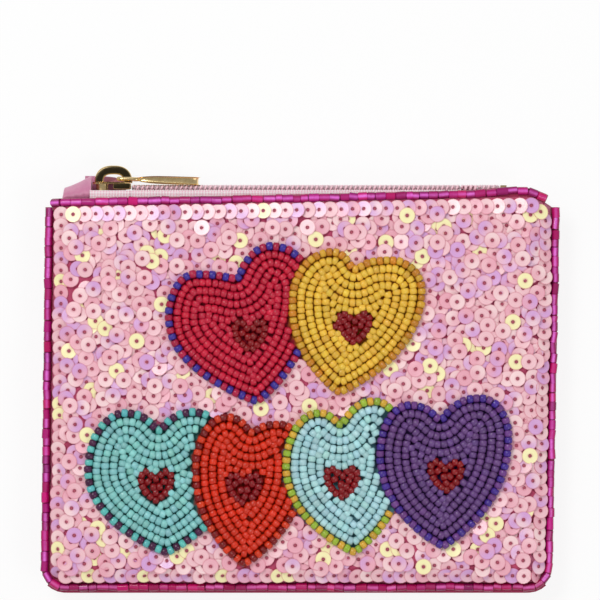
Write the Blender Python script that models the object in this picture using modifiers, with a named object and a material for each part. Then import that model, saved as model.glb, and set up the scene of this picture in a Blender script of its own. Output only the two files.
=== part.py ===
"""Beaded coin purse: a lined cloth pouch covered with sequins and six beaded hearts, with a coil zip.

The purse lies on its back: front face up (+Z), zip towards +Y. The origin is under the middle of
its outline, on the surface that it lies on. Lengths are in metres.
"""

import math

import bmesh
import bpy
import numpy as np
from mathutils import Vector

MM = 0.001

# Driving sizes of the pouch.
CLOTH_HALF_WIDTH = 62.2 * MM
CLOTH_BOTTOM_Y = -50.4 * MM
CLOTH_TOP_Y = 44.5 * MM
TOP_SLOPE_SHARE = 0.0215
TOP_CORNER_REACH = 8.0 * MM
TOP_CORNER_DROP = 3.0 * MM
HALF_DEPTH = 6.0 * MM
SIDE_ROLL = 7.0 * MM
BOTTOM_ROLL = 6.0 * MM
CORNER_RADIUS = 4.5 * MM

# Cloth and sewing.
CLEARANCE = 0.3 * MM
CLOTH_THICKNESS = 0.9 * MM
LINING_THICKNESS = 0.4 * MM
LINING_TOP_Y = 43.4 * MM
SEAM_HALF_GAP = 0.45 * MM
SEQUIN_THICKNESS = 0.7 * MM
SEQUIN_EDGE_ANGLE = math.radians(35.0)

# Glass beads.
EDGE_BEAD_RADIUS = 1.1 * MM
EDGE_BEAD_LENGTH = 2.4 * MM
EDGE_BEAD_NECK_SHARE = 0.55
HEART_BEAD_RADIUS = 0.95 * MM
HEART_FILL_HEIGHT = 1.6 * MM
HEART_ROW_PITCH = 2.08 * MM
GROOVE_ROW_STEP = 2
GROOVE_WIDTH = 0.9 * MM
GROOVE_DEPTH = 0.6 * MM
GROOVE_RAYS = 48
GROOVE_HALVINGS = 14
GROOVE_SEARCH = 15
CUT_OVERRUN = 1.0 * MM

# Zip.
TAPE_THICKNESS = 0.3 * MM
TAPE_Y = 47.1 * MM
TAPE_SLOT_HALF = 1.05 * MM
HEM_INNER_HALF = HALF_DEPTH - CLOTH_THICKNESS - CLEARANCE - TAPE_THICKNESS
HEM_HEIGHT = 2.7 * MM
TAPE_LEFT_MARGIN = 5.7 * MM
TAPE_RIGHT_MARGIN = 9.2 * MM
TAPE_LEFT_X = TAPE_LEFT_MARGIN - CLOTH_HALF_WIDTH
TAPE_RIGHT_X = CLOTH_HALF_WIDTH - TAPE_RIGHT_MARGIN
COIL_HEIGHT = 1.0 * MM
COIL_PITCH = 1.2 * MM
COIL_TOOTH = 0.36 * MM
COIL_RAIL_IN = 1.2 * MM
COIL_RAIL_OUT = 2.1 * MM
COIL_HEAD_PAST_MIDDLE = 0.7 * MM
SLIDER_CLOSED_MARGIN = 10.8 * MM
SLIDER_OPEN_MARGIN = 12.8 * MM
SLIDER_LEFT_X = SLIDER_CLOSED_MARGIN - CLOTH_HALF_WIDTH
SLIDER_LENGTH = 9.4 * MM
SLIDER_OPEN_RIGHT_X = CLOTH_HALF_WIDTH - SLIDER_OPEN_MARGIN
SLIDER_HALF_WIDTH = 3.0 * MM
SLIDER_WING = 0.5 * MM
SLIDER_TRAVEL = SLIDER_OPEN_RIGHT_X - SLIDER_LENGTH - SLIDER_LEFT_X
DIAMOND_START = 0.8 * MM
DIAMOND_END = 3.8 * MM
DIAMOND_HALF_WIDTH = 0.75 * MM
FLANGE_LENGTH = 4.3 * MM
FLANGE_WIDTH = 0.6 * MM
BRIDGE_HALF_WIDTH = 1.1 * MM
BRIDGE_BAND = 1.0 * MM
BRIDGE_START = 1.0 * MM
BRIDGE_END = 0.2 * MM
BRIDGE_HEIGHT = 3.55 * MM
BRIDGE_SHOULDER = 1.3 * MM
PULL_PIN_FROM_END = 3.1 * MM
PULL_PIN_RADIUS = 0.55 * MM
PULL_THICKNESS = 1.5 * MM
PULL_REST_TILT = math.radians(-1.8)
PULL_BAR_START = 4.8 * MM
PULL_LENGTH = 19.9 * MM
PULL_HALF_WIDTH = 2.2 * MM
PULL_ARM_WIDTH = 0.75 * MM
BOTTOM_STOP_LENGTH = 1.5 * MM

# Satin tab over the left end of the zip.
TAB_LEFT_MARGIN = 3.4 * MM
TAB_LEFT_X = TAB_LEFT_MARGIN - CLOTH_HALF_WIDTH
TAB_LOW_HEIGHT = 0.7 * MM
TAB_HIGH_HEIGHT = 3.4 * MM
TAB_HALF_WIDTH = 2.6 * MM
TAB_FOLD = 1.2 * MM
TAB_FOLD_REACH = 8.6 * MM

HALF_GAP = CLEARANCE / 2
MID_Z = HALF_DEPTH

PARTS = "beaded_coin_purse"
CUTTERS = "cutters"


def clear_scene():
    for old in list(bpy.data.objects):
        bpy.data.objects.remove(old, do_unlink=True)


def make_collections():
    """One collection for the purse, and one that isn't rendered for the cutters."""
    for name in (PARTS, CUTTERS):
        bpy.context.scene.collection.children.link(bpy.data.collections.new(name))
    bpy.data.collections[CUTTERS].hide_render = True


def material(name, colour, roughness, metallic=0.0, alpha=1.0):
    made = bpy.data.materials.get(name)
    if made is None:
        made = bpy.data.materials.new(name)
        made.use_nodes = True
        shader = made.node_tree.nodes["Principled BSDF"]
        shader.inputs["Base Color"].default_value = (*colour, 1.0)
        shader.inputs["Roughness"].default_value = roughness
        shader.inputs["Metallic"].default_value = metallic
        shader.inputs["Alpha"].default_value = alpha
    return made


def put_in(obj, look, collection=PARTS):
    """Gives an object its material and its collection."""
    obj.data.materials.clear()
    if look is not None:
        obj.data.materials.append(look)
    for old in list(obj.users_collection):
        old.objects.unlink(obj)
    bpy.data.collections[collection].objects.link(obj)
    if collection == CUTTERS:
        obj.hide_render = True
        obj.display_type = "WIRE"
    return obj


def mesh_object(name, built, look, collection=PARTS):
    """An object from a bmesh, with its faces turned outwards."""
    data = bpy.data.meshes.new(name)
    built.to_mesh(data)
    built.free()
    obj = bpy.data.objects.new(name, data)
    bpy.context.scene.collection.objects.link(obj)
    return put_in(obj, look, collection)


def box_into(built, low, high):
    """Adds a box between two corners to a bmesh."""
    made = bmesh.ops.create_cube(built, size=1.0)
    low = Vector(low)
    high = Vector(high)
    for vertex in made["verts"]:
        share = vertex.co + Vector((0.5, 0.5, 0.5))
        vertex.co = low + Vector(s * d for s, d in zip(share, high - low))


def box_object(name, low, high, look, collection=PARTS):
    built = bmesh.new()
    box_into(built, low, high)
    return mesh_object(name, built, look, collection)


def prism_object(name, outline, base, height, look, collection=PARTS, upright=False):
    """A closed outline drawn flat and raised by a height: along Z, or along Y if upright.

    An upright outline holds (x, z) points and rises towards +Y from base.
    """
    built = bmesh.new()
    if upright:
        corners = [built.verts.new((x, base, z)) for x, z in outline]
        rise = Vector((0, height, 0))
    else:
        corners = [built.verts.new((x, y, base)) for x, y in outline]
        rise = Vector((0, 0, height))
    face = built.faces.new(corners)
    raised = bmesh.ops.extrude_face_region(built, geom=[face])
    moved = [part for part in raised["geom"] if isinstance(part, bmesh.types.BMVert)]
    bmesh.ops.translate(built, verts=moved, vec=rise)
    bmesh.ops.recalc_face_normals(built, faces=built.faces)
    return mesh_object(name, built, look, collection)


def add_boolean(obj, other, operation):
    change = obj.modifiers.new(operation.lower(), "BOOLEAN")
    change.object = other
    change.operation = operation
    return obj


def strand_object(name, points, radii, look):
    """A string of beads: a tube along points whose radius swells at each bead."""
    data = bpy.data.curves.new(name, "CURVE")
    data.dimensions = "3D"
    data.bevel_depth = 1.0
    data.bevel_resolution = 0
    data.use_fill_caps = True
    data.twist_mode = "Z_UP"
    line = data.splines.new("POLY")
    line.points.add(len(points) - 1)
    for point, place, radius in zip(line.points, points, radii):
        point.co = (*place, 1.0)
        point.radius = radius
    obj = bpy.data.objects.new(name, data)
    bpy.context.scene.collection.objects.link(obj)
    return put_in(obj, look)


def roll_share(depth, roll):
    """How much of the full depth the pouch has at a distance in from a closed edge: a quarter ellipse."""
    inside = np.clip(depth / roll, 0.0, 1.0)
    return np.sqrt(1.0 - (1.0 - inside) ** 2)


def top_edge_y(x, base):
    """The mouth's edge rises a little to the right, and rounds off at the right corner."""
    into_corner = np.clip((x - CLOTH_HALF_WIDTH + TOP_CORNER_REACH) / TOP_CORNER_REACH, 0.0, 1.0)
    return base + TOP_SLOPE_SHARE * x - TOP_CORNER_DROP * into_corner**2


def rolled_steps(reach, roll, steps, first_angle=0.0):
    """Distances out to a closed edge, in even turns of the quarter ellipse."""
    angles = np.linspace(math.pi / 2, first_angle, steps + 1)
    return reach - roll * (1.0 - np.cos(angles))


def pillow_sheet(name, inset, top_y, look, thickness, outward, first_angle=0.0, level_top=False):
    """One face of the pouch as a sheet with thickness.

    The sheet lies inset inside the cloth's outer surface. It is flat in the middle and rolls down
    to the middle plane along its left, right and bottom edges. It stays at full depth at the mouth.
    """
    half_width = CLOTH_HALF_WIDTH - inset
    bottom_y = CLOTH_BOTTOM_Y + inset
    depth = HALF_DEPTH - inset
    side_roll = SIDE_ROLL - inset
    bottom_roll = BOTTOM_ROLL - inset
    corner = CORNER_RADIUS - inset
    steps = 5
    flat_columns = 5
    flat_rows = 4
    right = rolled_steps(half_width, side_roll, steps, first_angle)
    columns = np.concatenate([-right[::-1], np.linspace(-right[0], right[0], flat_columns)[1:-1], right])
    below = -rolled_steps(-bottom_y, bottom_roll, steps, first_angle)
    rows = np.concatenate([below[::-1], np.linspace(below[0], top_y, flat_rows + 1)[1:]])
    edge_columns = half_width - np.abs(columns)
    edge_rows = rows - bottom_y
    built = bmesh.new()
    grid = []
    for row, y in enumerate(rows):
        line = []
        for column, x in enumerate(columns):
            share = roll_share(edge_columns[column], side_roll) * roll_share(edge_rows[row], bottom_roll)
            z = SEAM_HALF_GAP + (depth - SEAM_HALF_GAP) * float(share)
            across = max(0.0, abs(x) - (half_width - corner))
            down = max(0.0, bottom_y + corner - y)
            pull = 1.0
            if across > 0.0 and down > 0.0:
                pull = max(across, down) / math.hypot(across, down)
            placed_x = math.copysign(abs(x) - across * (1.0 - pull), x)
            placed_y = y + down * (1.0 - pull)
            if not level_top:
                lift = (y - rows[0]) / (rows[-1] - rows[0])
                placed_y += lift * (float(top_edge_y(x, top_y)) - top_y)
            line.append(built.verts.new((placed_x, placed_y, MID_Z + z)))
        grid.append(line)
    for lower, upper in zip(grid, grid[1:]):
        for a, b, c, d in zip(lower, lower[1:], upper[1:], upper):
            built.faces.new((a, b, c, d))
    obj = mesh_object(name, built, look)
    solid = obj.modifiers.new("thickness", "SOLIDIFY")
    solid.thickness = thickness
    solid.offset = 1.0 if outward else -1.0
    solid.use_even_offset = True
    return obj


def turned_over(obj):
    """Mirrors a sheet through the middle plane, for the back of the pouch."""
    for vertex in obj.data.vertices:
        vertex.co.z = 2 * MID_Z - vertex.co.z
    obj.data.flip_normals()
    return obj


def make_cloth():
    """Outer cloth and lining, each a front and a back sheet that meet at the seam."""
    cloth = material("pink_cloth", (0.58, 0.16, 0.25), 0.85)
    lining = material("pink_lining", (0.72, 0.30, 0.40), 0.8)
    lining_inset = CLOTH_THICKNESS + CLEARANCE
    pillow_sheet("front_panel", 0.0, CLOTH_TOP_Y, cloth, CLOTH_THICKNESS, False)
    turned_over(pillow_sheet("back_panel", 0.0, CLOTH_TOP_Y, cloth, CLOTH_THICKNESS, False))
    pillow_sheet("front_lining", lining_inset, LINING_TOP_Y, lining, LINING_THICKNESS, False, level_top=True)
    turned_over(
        pillow_sheet("back_lining", lining_inset, LINING_TOP_Y, lining, LINING_THICKNESS, False, level_top=True)
    )


# The hearts' landmarks, read from a square photograph of the purse, in its pixels from the top left:
# the points that lie furthest left, up and right on each heart, its cleft and its tip.
CLOTH_LEFT_PX = 48.2
CLOTH_RIGHT_PX = 551.8
CLOTH_TOP_PX = 201.3
CLOTH_BOTTOM_PX = 585.5
HEART_LANDMARKS_PX = {
    "crimson": {"left": (164.5, 318), "left_top": (195, 270), "cleft": (235, 275), "right_top": (272, 242),
                "right": (316, 290), "tip": (258, 406)},
    "yellow": {"left": (288, 303), "left_top": (332, 248), "cleft": (355, 265), "right_top": (389, 256),
               "right": (426, 290), "tip": (339, 397)},
    "turquoise": {"left": (84, 471), "left_top": (125, 409), "cleft": (159, 426), "right_top": (194, 408),
                  "right": (238, 465), "tip": (167, 557)},
    "orange": {"left": (191.5, 471), "left_top": (226, 413), "cleft": (252, 428), "right_top": (280, 420),
               "right": (308, 466), "tip": (244, 569)},
    "pale_blue": {"left": (282, 466), "left_top": (318, 409), "cleft": (340, 420), "right_top": (375, 397),
                  "right": (409, 455), "tip": (355, 557)},
    "purple": {"left": (376, 455), "left_top": (409, 401), "cleft": (440, 415), "right_top": (480.5, 394),
               "right": (512.7, 437), "tip": (443, 551)},
}
# Each heart lies over its left neighbour.
COVERED_BY = {"crimson": "yellow", "turquoise": "orange", "orange": "pale_blue", "pale_blue": "purple"}
HEART_COLOURS = {
    "crimson": ((0.50, 0.02, 0.06), (0.06, 0.03, 0.28)),
    "yellow": ((0.70, 0.46, 0.05), (0.60, 0.20, 0.01)),
    "turquoise": ((0.16, 0.58, 0.52), (0.10, 0.01, 0.05)),
    "orange": ((0.68, 0.05, 0.01), (0.20, 0.01, 0.01)),
    "pale_blue": ((0.38, 0.68, 0.70), (0.30, 0.44, 0.04)),
    "purple": ((0.15, 0.05, 0.22), (0.08, 0.03, 0.30)),
}
ROUND_HANDLE_SHARE = 0.552
SIDE_HANDLE_SHARE = 0.50
TIP_SPREAD_SHARE = 0.46
TIP_RISE_SHARE = 0.17
CLEFT_RISE_SHARE = 0.5
CLEFT_SPREAD_SHARE = 0.2


def photo_place(pixel):
    """Where a pixel lies on the front, from the shares of the cloth's width and height that it is at."""
    x, y = pixel
    across_share = (x - CLOTH_LEFT_PX) / (CLOTH_RIGHT_PX - CLOTH_LEFT_PX)
    up_share = (CLOTH_BOTTOM_PX - y) / (CLOTH_BOTTOM_PX - CLOTH_TOP_PX)
    return np.array((
        (2 * across_share - 1) * CLOTH_HALF_WIDTH,
        CLOTH_BOTTOM_Y + up_share * (CLOTH_TOP_Y - CLOTH_BOTTOM_Y),
    ))


def cubic(start, start_handle, end_handle, end, count):
    """Points along a cubic curve, without its last point."""
    t = np.linspace(0.0, 1.0, count, endpoint=False)[:, None]
    s = 1.0 - t
    return s**3 * start + 3 * s**2 * t * start_handle + 3 * s * t**2 * end_handle + t**3 * end


def heart_half(cleft, top, side, tip, count):
    """One half of a heart from its cleft over the lobe and down to the tip.

    The curve runs level at the lobe's top and upright at its widest point.
    """
    over = np.array((side[0] - top[0], 0.0))
    drop = np.array((0.0, side[1] - top[1]))
    lobe_start = top - np.array((top[0] - cleft[0], 0.0)) * ROUND_HANDLE_SHARE
    cleft_rise = cleft + (top - cleft) * np.array((CLEFT_SPREAD_SHARE, CLEFT_RISE_SHARE))
    fall = np.array((0.0, tip[1] - side[1]))
    tip_rise = tip + (side - tip) * np.array((TIP_SPREAD_SHARE, TIP_RISE_SHARE))
    return np.concatenate([
        cubic(cleft, cleft_rise, lobe_start, top, count),
        cubic(top, top + over * ROUND_HANDLE_SHARE, side - drop * ROUND_HANDLE_SHARE, side, count),
        cubic(side, side + fall * SIDE_HANDLE_SHARE, tip_rise, tip, count),
    ])


def heart_outline(name, count):
    """A heart's outline, anticlockwise from its cleft, in metres."""
    marks = {key: photo_place(pixel) for key, pixel in HEART_LANDMARKS_PX[name].items()}
    left = heart_half(marks["cleft"], marks["left_top"], marks["left"], marks["tip"], count)
    right = heart_half(marks["cleft"], marks["right_top"], marks["right"], marks["tip"], count)
    back_up = np.concatenate([marks["tip"][None], right[:0:-1]])
    return np.concatenate([left, back_up])


def moved_in(outline, distance):
    """An anticlockwise outline moved inwards by a distance, with its corners kept sharp."""
    before = outline - np.roll(outline, 1, axis=0)
    after = np.roll(outline, -1, axis=0) - outline
    before /= np.linalg.norm(before, axis=1)[:, None]
    after /= np.linalg.norm(after, axis=1)[:, None]
    inward = np.stack([-(before + after)[:, 1], (before + after)[:, 0]], axis=1)
    inward /= np.linalg.norm(inward, axis=1)[:, None]
    lean = np.maximum(0.5, np.sum(inward * np.stack([-after[:, 1], after[:, 0]], axis=1), axis=1))
    return outline + inward * (distance / lean)[:, None]


def nearest_side(point, outline):
    """How far a point lies from the nearest side of a closed outline."""
    side = np.roll(outline, -1, axis=0) - outline
    apart = point - outline
    along = np.clip(np.sum(apart * side, axis=1) / np.sum(side**2, axis=1), 0.0, 1.0)
    return np.linalg.norm(apart - along[:, None] * side, axis=1).min()


def deepest_place(outline):
    """The place furthest in from every side, out of an even grid over the outline."""
    across = np.linspace(outline[:, 0].min(), outline[:, 0].max(), GROOVE_SEARCH)
    up = np.linspace(outline[:, 1].min(), outline[:, 1].max(), GROOVE_SEARCH)
    places = [np.array((x, y)) for x in across for y in up]
    return max((place for place in places if inside(place, outline)), key=lambda place: nearest_side(place, outline))


def far_inside(outline, distance):
    """The line at a distance inside an outline, found by halving along even rays from its middle."""
    middle = deepest_place(outline)
    if nearest_side(middle, outline) < distance + GROOVE_WIDTH:
        return None
    line = []
    for angle in np.linspace(0.0, 2 * math.pi, GROOVE_RAYS, endpoint=False):
        ray = np.array((math.cos(angle), math.sin(angle)))
        near = 0.0
        far = CLOTH_HALF_WIDTH
        for _ in range(GROOVE_HALVINGS):
            between = (near + far) / 2
            place = middle + between * ray
            if inside(place, outline) and nearest_side(place, outline) > distance:
                near = between
            else:
                far = between
        line.append(middle + near * ray)
    return np.array(line)


def inside(point, outline):
    """Whether a point lies inside a closed outline, by the crossings of a level ray."""
    x, y = point
    crossings = 0
    for (ax, ay), (bx, by) in zip(outline, np.roll(outline, -1, axis=0)):
        if (ay > y) != (by > y) and x < ax + (y - ay) / (by - ay) * (bx - ax):
            crossings += 1
    return crossings % 2 == 1


def open_run(points, hidden):
    """The longest run of points that aren't hidden, going round the closed list."""
    if not any(hidden):
        return list(points) + [points[0]]
    count = len(points)
    runs = []
    run = []
    start = hidden.index(True)
    for step in range(1, count + 1):
        place = (start + step) % count
        if hidden[place]:
            runs.append(run)
            run = []
        else:
            run.append(points[place])
    return max(runs, key=len)


def heart_cutter(name):
    """Cuts room for a heart, with clearance, out of what lies beside it."""
    found = bpy.data.objects.get(f"{name}_heart_cutter")
    if found is None:
        room = moved_in(heart_outline(name, 5), -CLEARANCE)
        height = HALF_DEPTH + CLEARANCE + max(SEQUIN_THICKNESS, HEART_FILL_HEIGHT) + CUT_OVERRUN
        found = prism_object(f"{name}_heart_cutter", room, MID_Z, height, None, CUTTERS)
    return found


def cut_grooves(plate, name, top_z):
    """Cuts the grooves between every few of the bead rows that follow the heart's outline."""
    outline = heart_outline(name, 9)
    gap = 2 * HEART_BEAD_RADIUS + GROOVE_ROW_STEP * HEART_ROW_PITCH
    rims = [far_inside(outline, gap + move) for move in (-GROOVE_WIDTH / 2, GROOVE_WIDTH / 2)]
    while rims[1] is not None:
        wide, narrow = (
            prism_object(f"{name}_groove_{gap / MM:.1f}_{part}", rim, top_z - GROOVE_DEPTH - past,
                         GROOVE_DEPTH + CUT_OVERRUN + 2 * past, None, CUTTERS)
            for part, rim, past in (("wide", rims[0], 0.0), ("narrow", rims[1], CUT_OVERRUN))
        )
        add_boolean(wide, narrow, "DIFFERENCE")
        add_boolean(plate, wide, "DIFFERENCE")
        gap += GROOVE_ROW_STEP * HEART_ROW_PITCH
        rims = [far_inside(outline, gap + move) for move in (-GROOVE_WIDTH / 2, GROOVE_WIDTH / 2)]


def make_heart(name):
    """A filled field of bead rows, and the row of beads that outlines it."""
    fill_colour, row_colour = HEART_COLOURS[name]
    fill_look = material(f"{name}_glass", fill_colour, 0.15)
    row_look = material(f"{name}_outline_glass", row_colour, 0.15)
    base_z = MID_Z + HALF_DEPTH + CLEARANCE
    cover = COVERED_BY.get(name)
    field = moved_in(heart_outline(name, 5), 2 * HEART_BEAD_RADIUS + CLEARANCE)
    plate = prism_object(f"{name}_heart_beads", field, base_z, HEART_FILL_HEIGHT, fill_look)
    cut_grooves(plate, name, base_z + HEART_FILL_HEIGHT)
    if cover:
        add_boolean(plate, heart_cutter(cover), "DIFFERENCE")
    row = moved_in(heart_outline(name, 9), HEART_BEAD_RADIUS)
    hidden = [False] * len(row)
    if cover:
        shade = moved_in(heart_outline(cover, 9), -HEART_BEAD_RADIUS - CLEARANCE)
        hidden = [inside(point, shade) for point in row]
    run = open_run(row, hidden)
    if not any(hidden):
        # The row's two ends meet at the cleft, a bead's clearance apart.
        run = run[1:-1]
    height = base_z + HEART_BEAD_RADIUS
    places = [(x, y, height) for x, y in run]
    strand_object(f"{name}_heart_outline", places, [HEART_BEAD_RADIUS] * len(places), row_look)


def make_sequin_field():
    """The sheet of overlapping sequins, open where the hearts are sewn."""
    look = material("pink_sequin", (0.80, 0.50, 0.56), 0.25)
    field = pillow_sheet(
        "sequin_field", -CLEARANCE, CLOTH_TOP_Y, look, SEQUIN_THICKNESS, True, first_angle=SEQUIN_EDGE_ANGLE
    )
    for name in HEART_LANDMARKS_PX:
        add_boolean(field, heart_cutter(name), "DIFFERENCE")


def beaded_path(name, path, look):
    """Barrel beads in a row along a path of (x, y, z) points, joined by their thread."""
    path = np.array(path)
    lengths = np.concatenate([[0.0], np.cumsum(np.linalg.norm(np.diff(path, axis=0), axis=1))])
    beads = max(1, round(lengths[-1] / EDGE_BEAD_LENGTH))
    stops = []
    radii = []
    for bead in range(beads):
        for along, share in ((0.0, EDGE_BEAD_NECK_SHARE), (0.22, 1.0), (0.78, 1.0)):
            stops.append((bead + along) / beads * lengths[-1])
            radii.append(EDGE_BEAD_RADIUS * share)
    stops.append(lengths[-1])
    radii.append(EDGE_BEAD_RADIUS * EDGE_BEAD_NECK_SHARE)
    places = [tuple(float(np.interp(stop, lengths, path[:, axis])) for axis in range(3)) for stop in stops]
    strand_object(name, places, radii, look)


def make_edge_beads():
    """Tube beads sewn along the seam and along the front of the mouth."""
    look = material("magenta_glass", (0.36, 0.01, 0.13), 0.1)
    out = EDGE_BEAD_RADIUS + CLEARANCE
    side_x = CLOTH_HALF_WIDTH + out
    bottom_y = CLOTH_BOTTOM_Y - out
    corner = CORNER_RADIUS + out
    side_top_y = float(top_edge_y(CLOTH_HALF_WIDTH, CLOTH_TOP_Y)) - EDGE_BEAD_RADIUS
    turn = np.linspace(0.0, math.pi / 4, 4)
    half_bead_turn = EDGE_BEAD_RADIUS / corner
    for name, side in (("left_edge_beads", -1), ("right_edge_beads", 1)):
        path = [(side * side_x, side_top_y, MID_Z)]
        for angle in turn * (1 - half_bead_turn):
            x = side_x - corner * (1 - math.cos(angle))
            path.append((side * x, bottom_y + corner * (1 - math.sin(angle)), MID_Z))
        beaded_path(name, path, look)
    path = []
    for angle in math.pi / 2 - turn * (1 - half_bead_turn):
        path.append((side_x - corner * (1 - math.cos(angle)), bottom_y + corner * (1 - math.sin(angle)), MID_Z))
    mirrored = [(-x, y, z) for x, y, z in path[::-1]]
    beaded_path("bottom_edge_beads", mirrored + path, look)
    top = []
    for x in rolled_top_columns():
        share = float(roll_share(CLOTH_HALF_WIDTH - abs(x), SIDE_ROLL))
        depth = HALF_DEPTH - CLOTH_THICKNESS + EDGE_BEAD_RADIUS
        top.append((x, float(top_edge_y(x, CLOTH_TOP_Y)) + out, MID_Z + SEAM_HALF_GAP + depth * share))
    beaded_path("top_edge_beads", top, look)


def rolled_top_columns():
    """Places along the mouth, closer together where the pouch rolls down to its seam."""
    out = EDGE_BEAD_RADIUS
    right = rolled_steps(CLOTH_HALF_WIDTH - out, SIDE_ROLL - out, 8, SEQUIN_EDGE_ANGLE / 2)
    return np.concatenate([-right[::-1], np.linspace(-right[0], right[0], 9)[1:-1], right])


def mirrored_z(low, high, side):
    """A box on the front (side 1) or back (side -1) of the middle plane, from its front twin."""
    ends = sorted((MID_Z + side * low[2], MID_Z + side * high[2]))
    return (low[0], low[1], ends[0]), (high[0], high[1], ends[1])


def make_zip_tapes():
    """Each tape has a sewn hem and flat ends that stay put, and a long flap that folds into the mouth."""
    look = material("pink_tape", (0.68, 0.32, 0.42), 0.8)
    flap_left = SLIDER_LEFT_X + SLIDER_LENGTH + CLEARANCE
    flap_right = SLIDER_LEFT_X + SLIDER_TRAVEL - CLEARANCE
    low_y = TAPE_Y - TAPE_THICKNESS / 2
    high_y = TAPE_Y + TAPE_THICKNESS / 2
    hem_top = low_y - CLEARANCE
    for name, side in (("front", 1), ("back", -1)):
        hem_in = HEM_INNER_HALF
        hem_out = hem_in + TAPE_THICKNESS
        built = bmesh.new()
        low, high = mirrored_z((TAPE_LEFT_X, hem_top - HEM_HEIGHT, hem_in), (TAPE_RIGHT_X, hem_top, hem_out), side)
        box_into(built, low, high)
        hem = mesh_object(f"{name}_tape_hem", built, look)
        for end, (start, stop) in (
            ("left", (TAPE_LEFT_X, flap_left - CLEARANCE)),
            ("right", (flap_right + CLEARANCE, TAPE_RIGHT_X)),
        ):
            low, high = mirrored_z((start, low_y, TAPE_SLOT_HALF), (stop, high_y, hem_out), side)
            flat = box_object(f"{name}_{end}_flat", low, high, None, CUTTERS)
            low, high = mirrored_z((start, hem_top - HALF_GAP, hem_in), (stop, high_y, hem_out), side)
            riser = box_object(f"{name}_{end}_riser", low, high, None, CUTTERS)
            add_boolean(hem, flat, "UNION")
            add_boolean(hem, riser, "UNION")
        low, high = mirrored_z((flap_left, low_y, TAPE_SLOT_HALF), (flap_right, high_y, hem_in), side)
        box_object(f"{name}_tape_flap", low, high, look)


def comb_outline(start, stop, side, first_tooth):
    """One side's coil from above: a rail with a head at every turn that reaches past the middle."""
    points = [(start, MID_Z + side * COIL_RAIL_OUT)]
    teeth = int((stop - start - first_tooth - COIL_TOOTH) / COIL_PITCH) + 1
    points.append((start, MID_Z + side * COIL_RAIL_IN))
    for tooth in range(teeth):
        left = start + first_tooth + tooth * COIL_PITCH
        points.append((left, MID_Z + side * COIL_RAIL_IN))
        points.append((left, MID_Z - side * COIL_HEAD_PAST_MIDDLE))
        points.append((left + COIL_TOOTH, MID_Z - side * COIL_HEAD_PAST_MIDDLE))
        points.append((left + COIL_TOOTH, MID_Z + side * COIL_RAIL_IN))
    points.append((stop, MID_Z + side * COIL_RAIL_IN))
    points.append((stop, MID_Z + side * COIL_RAIL_OUT))
    return points


def make_coils():
    """The two rows of the coil, meshed along the middle plane, and the closed end that stays put."""
    look = material("pink_coil", (0.75, 0.42, 0.50), 0.4)
    base_y = TAPE_Y + TAPE_THICKNESS / 2 + CLEARANCE
    start = SLIDER_LEFT_X + SLIDER_LENGTH + CLEARANCE
    stop = SLIDER_LEFT_X + SLIDER_TRAVEL - CLEARANCE
    for name, side, first_tooth in (("front_coil", 1, COIL_TOOTH / 2), ("back_coil", -1, (COIL_PITCH + COIL_TOOTH) / 2)):
        outline = comb_outline(start, stop, side, first_tooth)
        prism_object(name, outline, base_y, COIL_HEIGHT, look, upright=True)
    end_start = SLIDER_LEFT_X + SLIDER_TRAVEL + DIAMOND_END + CLEARANCE
    end_stop = SLIDER_LEFT_X + SLIDER_TRAVEL + SLIDER_LENGTH
    box_object(
        "closed_coil_end",
        (end_start, base_y, MID_Z - COIL_RAIL_OUT),
        (end_stop, base_y + COIL_HEIGHT, MID_Z + COIL_RAIL_OUT),
        look,
    )
    steel = material("gold_metal", (0.70, 0.48, 0.18), 0.25, metallic=1.0)
    stop_start = end_stop + CLEARANCE
    box_object(
        "bottom_stop",
        (stop_start, base_y, MID_Z - COIL_RAIL_OUT),
        (stop_start + BOTTOM_STOP_LENGTH, base_y + COIL_HEIGHT, MID_Z + COIL_RAIL_OUT),
        steel,
    )


def make_slider():
    """Two wings joined by the nose wedge, flanges that hold the coils, and a bridge for the pull."""
    look = material("gold_metal", (0.70, 0.48, 0.18), 0.25, metallic=1.0)
    coil_top = TAPE_Y + TAPE_THICKNESS / 2 + CLEARANCE + COIL_HEIGHT
    upper = coil_top + CLEARANCE
    lower = TAPE_Y - TAPE_THICKNESS / 2 - CLEARANCE
    right = SLIDER_LEFT_X + SLIDER_LENGTH
    wing = box_object(
        "zip_slider",
        (SLIDER_LEFT_X, upper, MID_Z - SLIDER_HALF_WIDTH),
        (right, upper + SLIDER_WING, MID_Z + SLIDER_HALF_WIDTH),
        look,
    )
    boxes = [
        (
            (SLIDER_LEFT_X, lower - SLIDER_WING, MID_Z - SLIDER_HALF_WIDTH),
            (right, lower, MID_Z + SLIDER_HALF_WIDTH),
        ),
        (
            (SLIDER_LEFT_X + DIAMOND_START, lower - SLIDER_WING / 2, MID_Z - DIAMOND_HALF_WIDTH),
            (SLIDER_LEFT_X + DIAMOND_END, upper + SLIDER_WING / 2, MID_Z + DIAMOND_HALF_WIDTH),
        ),
    ]
    flange_foot = TAPE_Y + TAPE_THICKNESS / 2 + CLEARANCE
    for side in (-1, 1):
        ends = sorted((MID_Z + side * SLIDER_HALF_WIDTH, MID_Z + side * (SLIDER_HALF_WIDTH - FLANGE_WIDTH)))
        boxes.append((
            (right - FLANGE_LENGTH, flange_foot, ends[0]),
            (right, upper + SLIDER_WING / 2, ends[1]),
        ))
    for index, (low, high) in enumerate(boxes):
        add_boolean(wing, box_object(f"slider_piece_{index}", low, high, None, CUTTERS), "UNION")
    add_boolean(wing, bridge_arch(upper + SLIDER_WING / 2), "UNION")


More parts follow.
